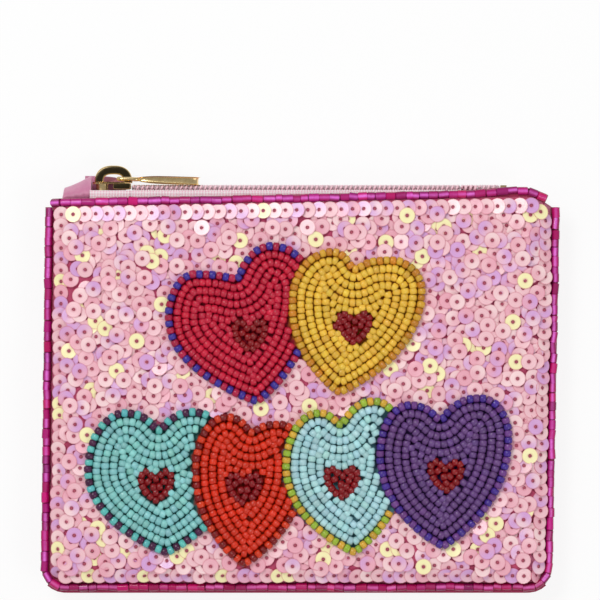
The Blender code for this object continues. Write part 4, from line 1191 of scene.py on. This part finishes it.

# The zip's tapes: pink polyester tape with ribs along it. Each is sewn inside the mouth, turns over
# the edge and runs level to the coil. Past the slider's two ends it stays put; between them is a strip of its
# own.
TAPE_THICKNESS = 0.3 * MM
TAPE_Y = 47.1 * MM
TAPE_FOOT_Y = 43.95 * MM
TAPE_OUT_LIFT = 4.65 * MM
TAPE_EDGE_LIFT = 1.05 * MM
TAPE_BEND = 0.5 * MM
TAPE_LEFT_X = -52.0 * MM
TAPE_RIGHT_X = 58.4 * MM
TAPE_MEET_X = 51.3 * MM
TAPE_MEET_REACH = 1.5 * MM
TAPE_MEET_LIFT = 0.1 * MM
FLAP_LEFT_X = -41.85 * MM
FLAP_RIGHT_X = 39.85 * MM
TAPE_MOTTLE = 1.5 * MM
TAPE_DEPTH = 0.08 * MM
RIB_PITCH = 0.72 * MM
PICK_PITCH = 0.62 * MM
TAPE_STEP = 0.6 * MM
RIB_TONE_SHARE = 0.45
PICK_TONE_SHARE = 0.45
TAPE_MOTTLE_SHARE = 0.2
TAPE_DARK_SHARE = 0.05
RIB_BUMP_SHARE = 0.7
PICK_BUMP_SHARE = 0.3
TAPE_FOOT_POINTS = 5
TAPE_BEND_POINTS = 7
TAPE_LEVEL_POINTS = 9
tape_look = Look("pink_tape", {"Roughness": 0.75, "Sheen Weight": 0.4, "Specular IOR Level": 0.3})
along, over = tape_look.uv()
ribs = along.wave(RIB_PITCH)
picks = over.wave(PICK_PITCH)
lattice = ribs * RIB_TONE_SHARE + picks * PICK_TONE_SHARE
tape_share = (lattice + tape_look.noise(TAPE_MOTTLE) * TAPE_MOTTLE_SHARE - TAPE_DARK_SHARE).within()
tape_look.feed("Base Color", tape_look.mix(tape_share, tint(240, 182, 198), tint(255, 252, 253)))
tape_look.bump(ribs * RIB_BUMP_SHARE + picks * PICK_BUMP_SHARE, TAPE_DEPTH)


def tape_strip(name, start_x, stop_x, side):
    """A tape's cross section, up from its sewn foot, round the bend and level to the coil, along X."""
    bend = np.linspace(0, math.pi / 2, TAPE_BEND_POINTS)
    foot = np.linspace(TAPE_FOOT_Y, TAPE_Y - TAPE_BEND, TAPE_FOOT_POINTS)[:-1]
    level = np.linspace(TAPE_OUT_LIFT - TAPE_BEND, TAPE_EDGE_LIFT, TAPE_LEVEL_POINTS)[1:]
    turned_in = TAPE_OUT_LIFT - TAPE_BEND * (1 - np.cos(bend))
    lift = np.concatenate([np.full(len(foot), TAPE_OUT_LIFT), turned_in, level])
    y = np.concatenate([foot, TAPE_Y - TAPE_BEND * (1 - np.sin(bend)), np.full(len(level), TAPE_Y)])
    x = np.linspace(start_x, stop_x, round((stop_x - start_x) / TAPE_STEP) + 1)
    grid_x, grid_y = np.meshgrid(x, y)
    grid_lift = np.repeat(lift[:, None], len(x), axis=1)
    # Past the stop, the two tapes' edges are drawn together.
    together = np.clip((grid_x - TAPE_MEET_X) / TAPE_MEET_REACH, 0, 1)
    stretch = (TAPE_EDGE_LIFT - TAPE_MEET_LIFT) / (TAPE_OUT_LIFT - TAPE_EDGE_LIFT)
    grid_lift -= (TAPE_OUT_LIFT - grid_lift) * stretch * together
    points = np.stack([grid_x, grid_y, grid_lift], axis=-1)
    strip = put_mesh(name, facing(points, side)[None], tape_look, closed=(False, False),
                     lines=line_lengths(points))
    return thicken(strip, TAPE_THICKNESS, offset=0.0)


def stitch_loop(length, radius, end_share, shoulder_share, sides):
    """A stitch: a short rod along X, drawn in at both ends."""
    half = length / 2
    return turned(mirrored([(-half, radius * end_share), (-half * shoulder_share, radius)]), sides)


for name, side in SIDES.items():
    flap = tape_strip(f"{name}_tape", FLAP_LEFT_X, FLAP_RIGHT_X, side)
    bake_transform(flap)
    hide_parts(f"{name}_tape_hem", f"{name}_tape_flap")
    for end, start_x, stop_x in (("left", TAPE_LEFT_X, FLAP_LEFT_X), ("right", FLAP_RIGHT_X, TAPE_RIGHT_X)):
        fit(tape_strip(f"{name}_tape_{end}_end", start_x, stop_x, side), "pouch", "pink_tape")

# The thread that sews the back's hem to the tape shows as a row of stitches below the mouth.
HEM_STITCH_PITCH = 2.6 * MM
HEM_STITCH_LENGTH = 2.0 * MM
HEM_STITCH_RADIUS = 0.16 * MM
HEM_STITCH_END_SHARE = 0.3
HEM_STITCH_SHOULDER_SHARE = 0.8
HEM_STITCH_DROP = 1.9 * MM
HEM_STITCH_INSET = 2.5 * MM
hem_end_x = CLOTH_HALF_WIDTH - HEM_STITCH_INSET
hem_x = np.arange(-hem_end_x, hem_end_x, HEM_STITCH_PITCH)
hem_y = mouth_y(hem_x) - HEM_STITCH_DROP
hem_lift = face_lift(hem_x * lean_share(hem_x, hem_y), hem_y) - HEM_STITCH_RADIUS / 2
hem_at = np.stack([hem_x * lean_share(hem_x, hem_y), hem_y, MID_Z - hem_lift], axis=-1)
hem_loop = stitch_loop(HEM_STITCH_LENGTH, HEM_STITCH_RADIUS, HEM_STITCH_END_SHARE,
                       HEM_STITCH_SHOULDER_SHARE, TUBE_THREAD_SIDES)
hem_stitches = put_mesh("back_hem_stitches", set_out(hem_loop, hem_at), cord_look, closed=(True, True))
fit(hem_stitches, "pouch", "pink_cloth")

# The coil: one nylon wire wound into flat loops on each tape. The loops of one side reach between
# those of the other. It stops at the slider; past the slider's open place, its end stays closed.
COIL_WIRE = 0.28 * MM
COIL_SIDES = 8
COIL_TURN_POINTS = 18
COIL_PITCH = 1.2 * MM
COIL_Y = 47.98 * MM
COIL_HALF_HEIGHT = 0.46 * MM
FILLER_RADIUS = 0.5 * MM
FILLER_LIFT = 1.1 * MM
FILLER_DEPTH = 0.6 * MM
FILLER_POINTS = 60
STITCH_LENGTH = 0.44 * MM
STITCH_PITCH = 0.6 * MM
STITCH_RADIUS = 0.17 * MM
STITCH_LIFT = 2.75 * MM
STITCH_SCALE = (1.0, 2.2, 1.0)
STITCH_END_SHARE = 0.2
STITCH_SHOULDER_SHARE = 0.7
NYLON_MOTTLE = 1.0 * MM
NYLON_GRAIN = 0.3 * MM
NYLON_DEPTH = 0.03 * MM
COIL_HEAD_LIFT = -0.55 * MM
COIL_BACK_LIFT = 1.95 * MM
COIL_LEFT_X = -41.7 * MM
COIL_RIGHT_X = 39.7 * MM
WEDGE_END_X = 44.1 * MM
COIL_END_X = 49.4 * MM
nylon = Look("pink_nylon", {"Roughness": 0.35, "Specular IOR Level": 0.5})
nylon_share = nylon.noise(NYLON_MOTTLE)
nylon.feed("Base Color", nylon.mix(nylon_share, tint(246, 196, 210), tint(255, 226, 232)))
nylon.bump(nylon.noise(NYLON_GRAIN), NYLON_DEPTH)


def coil_run(name, start_x, stop_x, side):
    """A spiral whose turns are ellipses across the chain: flat, and reaching past the middle plane."""
    turns = (stop_x - start_x) / COIL_PITCH
    angle = np.linspace(0, 2 * math.pi * turns, round(turns * COIL_TURN_POINTS) + 1)
    shift = 0.0 if side == 1 else math.pi
    middle_lift = (COIL_BACK_LIFT + COIL_HEAD_LIFT) / 2
    reach = (COIL_BACK_LIFT - COIL_HEAD_LIFT) / 2
    path = np.stack([
        start_x + COIL_PITCH * angle / (2 * math.pi),
        COIL_Y + COIL_HALF_HEIGHT * np.sin(angle + shift),
        MID_Z + side * (middle_lift + reach * np.cos(angle + shift)),
    ], axis=-1)
    return rod(name, path, oval(COIL_WIRE, COIL_WIRE, COIL_SIDES), X_AXIS, nylon)


stitch = stitch_loop(STITCH_LENGTH, STITCH_RADIUS, STITCH_END_SHARE, STITCH_SHOULDER_SHARE, COIL_SIDES)
for name, side in SIDES.items():
    run = coil_run(f"{name}_coil_wire", COIL_LEFT_X + COIL_WIRE, COIL_RIGHT_X - COIL_WIRE, side)
    fit(run, f"{name}_flap", "pink_coil", f"{name}_coil")
    parting = coil_run(f"{name}_coil_parting", COIL_RIGHT_X + COIL_WIRE, WEDGE_END_X - COIL_WIRE, side)
    fit(parting, "pouch", "pink_coil")
    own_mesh(parting)
    closed_end = coil_run(f"{name}_coil_closed_end", WEDGE_END_X + COIL_WIRE, COIL_END_X - COIL_WIRE, side)
    fit(closed_end, "pouch", "pink_coil", *(["closed_coil_end"] if side == 1 else []))
    # A cord runs through the loops, and a row of stitches on the tape holds the wire down over it.
    for part, start_x, stop_x, body in (
        ("", COIL_LEFT_X, COIL_RIGHT_X, f"{name}_flap"), ("_end", WEDGE_END_X, COIL_END_X, "pouch"),
    ):
        filler_path = np.linspace((start_x, COIL_Y, MID_Z + side * FILLER_LIFT),
                                  (stop_x, COIL_Y, MID_Z + side * FILLER_LIFT), FILLER_POINTS)
        filler = rod(f"{name}_coil_filler{part}", filler_path,
                     oval(FILLER_RADIUS, FILLER_DEPTH, COIL_SIDES), Y_AXIS, tape_look)
        fit(filler, body, "pink_coil")
        stitch_x = np.arange(start_x + STITCH_PITCH, stop_x, STITCH_PITCH)
        at = np.tile((0, TAPE_Y + TAPE_THICKNESS / 2 + STITCH_RADIUS / 2, MID_Z + side * STITCH_LIFT),
                     (len(stitch_x), 1))
        at[:, 0] = stitch_x
        stitches = put_mesh(f"{name}_coil_stitches{part}", set_out(stitch, at, scale=STITCH_SCALE), nylon,
                            closed=(True, True))
        fit(stitches, body, "pink_tape")

# The slider: cast and plated in pale gold. Two wings are joined by a wedge that parts the coils, two
# flanges hold them from the sides, and an arched bridge on top carries the pull.
SLIDER_LEFT_X = -51.4 * MM
SLIDER_RIGHT_X = -42.0 * MM
SLIDER_HALF_WIDTH = 3.0 * MM
WING_THICKNESS = 0.5 * MM
TOP_WING_Y = 48.85 * MM
LOW_WING_Y = 46.15 * MM
WING_ROUND = 0.17 * MM
FLANGE_LEFT_X = -46.3 * MM
FLANGE_FOOT_Y = 47.55 * MM
FLANGE_WIDTH = 0.6 * MM
WEDGE_LEFT_X = -50.6 * MM
WEDGE_RIGHT_X = -47.6 * MM
WEDGE_HALF_WIDTH = 0.75 * MM
BRIDGE_LEFT_X = -49.9 * MM
BRIDGE_RIGHT_X = -42.7 * MM
BRIDGE_TOP_Y = 52.4 * MM
BRIDGE_BAND = 0.48 * MM
BRIDGE_HALF_WIDTH = 1.1 * MM
BRIDGE_POWER = 2.6
BRIDGE_STEPS = 40
WING_POWER = 4.0
FLANGE_POWER = 6.0
BAND_POWER = 3.5
METAL_SIDES = 40
EDGE_CREASE = math.radians(60)
ROUND_STEPS = 5
SCUFF_GRAIN = 0.8 * MM
SCUFF_DETAIL = 6.0
DENT_GRAIN = 0.8 * MM
DENT_DEPTH = 0.004 * MM
LEVEL_FROM_SHARE = 0.8
LEVEL_STEEPNESS = 5.5
LEAST_ROUGHNESS = 0.16
SCUFF_ROUGHNESS = 0.1
# How deep the painted reflection on level faces is, on the slider and on the pull.
SLIDER_REFLECTION_SHARE = 0.96
PULL_REFLECTION_SHARE = 0.35


def gold_plate(name, painted_reflection_share):
    """Pale gold plate. Level metal that faces front or back is painted deep bronze by a share: a painted
    reflection of the dark room behind the lamps' white boxes. Every rounded edge keeps the pale gold."""
    look = Look(name, {"Metallic": 1.0})
    scuff = look.noise(SCUFF_GRAIN, SCUFF_DETAIL)
    facing_front = look.split(look.node("ShaderNodeTexCoord", output="Normal"))[2].size()
    shade = ((facing_front - LEVEL_FROM_SHARE) * LEVEL_STEEPNESS).within()
    bright = look.mix(scuff, tint(226, 188, 122), tint(255, 234, 184))
    # Painted reflection: level faces painted dark bronze, by the share.
    look.feed("Base Color", look.mix(shade * painted_reflection_share, bright, tint(24, 17, 9)))
    look.feed("Roughness", scuff * SCUFF_ROUGHNESS + LEAST_ROUGHNESS)
    look.bump(look.noise(DENT_GRAIN), DENT_DEPTH)
    return look


gold = gold_plate("gold_plate", SLIDER_REFLECTION_SHARE)
pull_gold = gold_plate("pull_gold", PULL_REFLECTION_SHARE)


def plate(outline, low, high, edge):
    """A plate cut to a closed outline of (a, b) points, from low to high, its rims rounded by an edge radius.

    Each row is the outline moved in by the round's share: (rows, points, (a, height, b)).
    """
    course = unit(np.roll(outline, -1, axis=0) - np.roll(outline, 1, axis=0))
    inward = np.stack([-course[:, 1], course[:, 0]], axis=-1)
    turns = np.linspace(0, math.pi / 2, ROUND_STEPS)
    inset = edge * np.concatenate([1 - np.sin(turns), (1 - np.sin(turns))[::-1]])
    rise = edge * (1 - np.cos(turns))
    height = np.concatenate([low + rise, high - rise[::-1]])
    flat = outline[None] + inset[:, None, None] * inward[None]
    return np.stack([flat[..., 0], np.broadcast_to(height[:, None], flat.shape[:2]), flat[..., 1]], axis=-1)


def joined(pieces, name):
    """Several meshes made one piece, with their materials kept."""
    with bpy.context.temp_override(active_object=pieces[0], selected_editable_objects=pieces):
        bpy.ops.object.join()
    pieces[0].name = name
    pieces[0].data.name = name
    return pieces[0]


def solid_piece(name, points, look=gold, ring=False):
    """One grid as a solid with crisp edges: capped at both ends, or joined to itself as a ring."""
    return put_mesh(name, points[None], look, closed=(ring, True), caps=not ring, crease=EDGE_CREASE)


def flat_oval(left, right, half_width, middle, power=2.0):
    """An oval outline of (a, b) points, from left to right in a and about a middle in b."""
    reach = (right - left) / 2
    return oval(reach, half_width, METAL_SIDES, power) + (left + reach, middle)


wing_outline = flat_oval(SLIDER_LEFT_X, SLIDER_RIGHT_X, SLIDER_HALF_WIDTH, MID_Z, WING_POWER)
slider_pieces = [
    solid_piece(f"wing_{low}", plate(wing_outline[::-1], low, low + WING_THICKNESS, WING_ROUND)[:, ::-1])
    for low in (TOP_WING_Y, LOW_WING_Y)
]
wing_middle_y = TOP_WING_Y + WING_THICKNESS / 2
flange_rise = (wing_middle_y - FLANGE_FOOT_Y) / 2
flange_middle_y = FLANGE_FOOT_Y + flange_rise
flange_outline = flat_oval(FLANGE_LEFT_X, SLIDER_RIGHT_X, flange_rise, flange_middle_y, FLANGE_POWER)
for side in (-1, 1):
    outer = MID_Z + side * SLIDER_HALF_WIDTH
    inner = MID_Z + side * (SLIDER_HALF_WIDTH - FLANGE_WIDTH)
    flange = plate(flange_outline, min(outer, inner), max(outer, inner), WING_ROUND)[..., (0, 2, 1)]
    slider_pieces.append(solid_piece(f"flange_{side}", flange))
wedge_outline = flat_oval(WEDGE_LEFT_X, WEDGE_RIGHT_X, WEDGE_HALF_WIDTH, MID_Z)
wedge = plate(wedge_outline[::-1], LOW_WING_Y + WING_THICKNESS / 2, wing_middle_y, WING_ROUND)[:, ::-1]
slider_pieces.append(solid_piece("wedge", wedge, pull_gold))
arch = np.linspace(math.pi, 0, BRIDGE_STEPS)
bridge_reach = (BRIDGE_RIGHT_X - BRIDGE_LEFT_X) / 2
across_share = np.sign(np.cos(arch)) * np.abs(np.cos(arch)) ** (2 / BRIDGE_POWER)
up_share = np.abs(np.sin(arch)) ** (2 / BRIDGE_POWER)
bridge_path = np.stack([
    BRIDGE_LEFT_X + bridge_reach + bridge_reach * across_share,
    wing_middle_y + (BRIDGE_TOP_Y - wing_middle_y) * up_share,
    np.full(BRIDGE_STEPS, MID_Z),
], axis=-1)
bridge_section = oval(BRIDGE_BAND, BRIDGE_HALF_WIDTH, METAL_SIDES // 2, BAND_POWER)
slider_pieces.append(solid_piece("bridge", swept(bridge_path, bridge_section, Z_AXIS)))
fit(joined(slider_pieces, "gold_slider"), "slider", "gold_metal", "zip_slider")

# The pull: a flat gold bar with a round end, hung from the bridge by a stirrup: a cross pin and two
# arms. It lies along the zip and points to the right, as it is left when the purse is shut.
PIN_X = -45.1 * MM
PIN_Y = 50.2 * MM
PULL_TILT = math.radians(-1.8)
STIRRUP_RADIUS = 0.5 * MM
STIRRUP_LENGTH = 5.0 * MM
STIRRUP_HALF_WIDTH = 1.72 * MM
BAR_START = 4.8 * MM
BAR_END = 19.9 * MM
BAR_HALF_WIDTH = 2.15 * MM
BAR_THICKNESS = 1.95 * MM
BAR_ROUND = 0.55 * MM
BAR_TAPER_SHARE = 0.6
BAR_TAPER_POWER = 6
BAR_POWER = 5.0
loop_reach = STIRRUP_LENGTH / 2
loop_points = oval(loop_reach, STIRRUP_HALF_WIDTH, METAL_SIDES, BAR_POWER)
loop_path = np.stack([loop_points[:, 0] + loop_reach, np.zeros(METAL_SIDES), loop_points[:, 1]], axis=-1)
wrapped = np.concatenate([loop_path[-1:], loop_path, loop_path[:1]])
stirrup_section = oval(STIRRUP_RADIUS, STIRRUP_RADIUS, METAL_SIDES // 2)
stirrup = swept(wrapped, stirrup_section, Y_AXIS)[1:-1]
bar_reach = (BAR_END - BAR_START) / 2
bar_outline = oval(bar_reach, BAR_HALF_WIDTH, METAL_SIDES * 2, BAR_POWER) + (BAR_START + bar_reach, 0)
bar = plate(bar_outline[::-1], -BAR_THICKNESS / 2, BAR_THICKNESS / 2, BAR_ROUND)[:, ::-1]
to_end_share = 1 - (bar[..., 0] - BAR_START) / (BAR_END - BAR_START)
bar[..., 1] *= 1 - BAR_TAPER_SHARE * to_end_share**BAR_TAPER_POWER
pull_pieces = []
for name, points, ring in (("stirrup", stirrup, True), ("bar", bar, False)):
    turned_x = points[..., 0] * math.cos(PULL_TILT) - points[..., 1] * math.sin(PULL_TILT)
    turned_y = points[..., 0] * math.sin(PULL_TILT) + points[..., 1] * math.cos(PULL_TILT)
    placed = np.stack([turned_x + PIN_X, turned_y + PIN_Y, points[..., 2] + MID_Z], axis=-1)
    pull_pieces.append(solid_piece(name, placed, pull_gold, ring))
fit(joined(pull_pieces, "gold_pull"), "pull", "gold_metal", "pull_tab")
stop_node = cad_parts["bottom_stop"]
stop_node.data.materials.clear()
stop_node.data.materials.append(pull_gold.material)

# The satin tab: a folded scrap of pink satin that hides the raw left end of the zip. It rises towards
# the slider like a small tent, and its back ply runs on behind the slider.
TAB_LEFT_X = -58.9 * MM
TAB_RIGHT_X = -51.75 * MM
TAB_FOOT_Y = 44.6 * MM
TAB_LOW_Y = 47.9 * MM
TAB_HIGH_Y = 51.0 * MM
TAB_HALF_WIDTH = 4.7 * MM
TAB_NARROW_SHARE = 0.3
TAB_COLUMNS = 40
TAB_SIDES = 48
TAB_WRINKLE = 0.09 * MM
TAB_WAVES = 7
TAB_WAVE_LEAN = 2.2
TAB_RISE_POWER = 1.3
TAB_START_STEEPNESS = 14
TAB_START_DROP_SHARE = 0.6
TAB_FULL_SHARE = 0.75
PLY_WAVES = 5
PLY_LEFT_X = -53.5 * MM
PLY_RIGHT_X = -43.3 * MM
PLY_LOW_Y = 49.2 * MM
PLY_LIFT = -3.9 * MM
PLY_THICKNESS = 0.5 * MM
SATIN_THREAD = 0.3 * MM
SATIN_MOTTLE = 2.0 * MM
SATIN_CRINKLE = 0.9 * MM
SATIN_DEPTH = 0.05 * MM
SATIN_MOTTLE_SHARE = 0.7
SATIN_THREAD_SHARE = 0.3
SATIN_BUMP_SHARE = 0.4
satin = Look("pink_satin", {"Roughness": 0.38, "Sheen Weight": 0.6, "Specular IOR Level": 0.6})
satin_threads = satin.split(satin.place())[0].wave(SATIN_THREAD)
satin_share = satin.noise(SATIN_MOTTLE) * SATIN_MOTTLE_SHARE + satin_threads * SATIN_THREAD_SHARE
satin.feed("Base Color", satin.mix(satin_share, tint(190, 104, 148), tint(226, 148, 180)))
satin.bump(satin_threads * SATIN_BUMP_SHARE + satin.noise(SATIN_CRINKLE), SATIN_DEPTH)
along = np.linspace(0, 1, TAB_COLUMNS)[:, None]
angles = np.linspace(0, 2 * math.pi, TAB_SIDES, endpoint=False)[None]
tab_x = TAB_LEFT_X + (TAB_RIGHT_X - TAB_LEFT_X) * along
tab_rise = (TAB_LOW_Y - TAB_FOOT_Y) + (TAB_HIGH_Y - TAB_LOW_Y) * along**TAB_RISE_POWER
tab_rise = tab_rise * (1 - TAB_START_DROP_SHARE * np.maximum(0, 1 - along * TAB_START_STEEPNESS) ** 2)
height = (np.sin(angles) + 1) / 2
wrinkle = TAB_WRINKLE * np.sin((TAB_WAVES * along + TAB_WAVE_LEAN * height) * math.pi)
tab_lift = TAB_HALF_WIDTH * (1 - (1 - TAB_NARROW_SHARE) * height**2) + wrinkle
tab_lift = tab_lift * np.sign(np.cos(angles)) * np.sqrt(np.abs(np.cos(angles)))
tab_lift = tab_lift * (TAB_FULL_SHARE + (1 - TAB_FULL_SHARE) * along)
tab_y = TAB_FOOT_Y + tab_rise * height
tab_points = np.stack(np.broadcast_arrays(tab_x, tab_y, MID_Z + tab_lift), axis=-1)
fit(solid_piece("satin_tab_front", tab_points[:, ::-1], satin), "pouch", "pink_satin", "zip_tab")
ply_share = np.linspace(0, 1, TAB_COLUMNS)[None]
ply_up = np.linspace(0, 1, TAB_COLUMNS // 2)[:, None]
ply_x = np.tile(PLY_LEFT_X + (PLY_RIGHT_X - PLY_LEFT_X) * ply_share, (len(ply_up), 1))
ply_top = PLY_LOW_Y + (TAB_HIGH_Y - PLY_LOW_Y) * np.sqrt(np.maximum(0, 1 - ply_share**3))
ply_y = TAB_FOOT_Y + (ply_top - TAB_FOOT_Y) * ply_up
ply_lift = PLY_LIFT + TAB_WRINKLE * np.sin(PLY_WAVES * math.pi * ply_share + 2 * ply_up)
ply_points = np.stack([ply_x, ply_y, MID_Z + ply_lift], axis=-1)
ply = put_mesh("satin_tab_ply", ply_points[None], satin, closed=(False, False))
fit(thicken(ply, PLY_THICKNESS), "pouch", "pink_satin")

# The stage: a white floor that keeps the purse's soft shadow, a pale even sky, and two soft boxes. To
# the camera, floor and sky are plain white.
FLOOR_HALF = 0.9
FLOOR_GLOW = 0.85
SKY_STRENGTH = 0.5
CAMERA_LENS = 300.0
SENSOR_WIDTH = 36.0
VIEW_WIDTH = 148.2 * MM
VIEW_MIDDLE_Y = 20.1 * MM
VIEW_PLANE_Z = 12.5 * MM
WHITE = (1.0, 1.0, 1.0, 1.0)
floor_grid = np.stack(np.meshgrid((-FLOOR_HALF, FLOOR_HALF), (-FLOOR_HALF, FLOOR_HALF)), axis=-1)
floor_points = np.concatenate([floor_grid, np.zeros((2, 2, 1))], axis=-1)
paper = Look("white_paper", {"Roughness": 0.9, "Specular IOR Level": 0.0, "Base Color": WHITE})
rays = paper.node("ShaderNodeLightPath", output="Is Camera Ray")
glossy = Wire(paper, rays.socket.node.outputs["Is Glossy Ray"])
through = Wire(paper, rays.socket.node.outputs["Is Transmission Ray"])
seen = (rays + glossy + through).within()
glow = paper.node("ShaderNodeEmission", None, {"Color": WHITE, "Strength": 1.0})
blend = paper.node("ShaderNodeMixShader", None, {0: seen * FLOOR_GLOW, 2: glow})
paper.tree.links.new(paper.shader.outputs[0], blend.socket.node.inputs[1])
paper.tree.links.new(blend.socket, paper.tree.nodes["Material Output"].inputs[0])
floor = put_mesh("floor", floor_points[None], paper, closed=(False, False))

world = bpy.data.worlds.new("pale_sky")
bpy.context.scene.world = world
world.use_nodes = True
tree = world.node_tree
sky = tree.nodes["Background"]
sky_rays = tree.nodes.new("ShaderNodeLightPath")
white_sky = tree.nodes.new("ShaderNodeBackground")
sky_mix = tree.nodes.new("ShaderNodeMixShader")
sky.inputs["Color"].default_value = WHITE
sky.inputs["Strength"].default_value = SKY_STRENGTH
white_sky.inputs["Color"].default_value = WHITE
tree.links.new(sky_rays.outputs["Is Camera Ray"], sky_mix.inputs[0])
tree.links.new(sky.outputs[0], sky_mix.inputs[1])
tree.links.new(white_sky.outputs[0], sky_mix.inputs[2])
tree.links.new(sky_mix.outputs[0], tree.nodes["World Output"].inputs[0])

SOFT_BOXES = {
    "upper_left": {"place": (-0.28, 0.36, 0.72), "size": 0.30, "power": 2.7},
    "lower_right": {"place": (0.42, -0.28, 0.62), "size": 0.30, "power": 0.9},
}
AIM = (0.0, 0.0, VIEW_PLANE_Z)
for name, lamp in SOFT_BOXES.items():
    data = bpy.data.lights.new(f"{name}_soft_box", "AREA")
    data.size = lamp["size"]
    data.energy = lamp["power"]
    light = bpy.data.objects.new(f"{name}_soft_box", data)
    bpy.context.scene.collection.objects.link(light)
    light.location = lamp["place"]
    aim = light.location.copy()
    aim.x, aim.y, aim.z = np.subtract(AIM, lamp["place"])
    light.rotation_euler = aim.to_track_quat("-Z", "Y").to_euler()

camera_data = bpy.data.cameras.new("overhead_camera")
camera_data.lens = CAMERA_LENS
camera_data.sensor_width = SENSOR_WIDTH
camera = bpy.data.objects.new("overhead_camera", camera_data)
bpy.context.scene.collection.objects.link(camera)
camera.location = (0.0, VIEW_MIDDLE_Y, VIEW_PLANE_Z + VIEW_WIDTH * CAMERA_LENS / SENSOR_WIDTH)
bpy.context.scene.camera = camera
bpy.context.scene.view_settings.view_transform = "Standard"
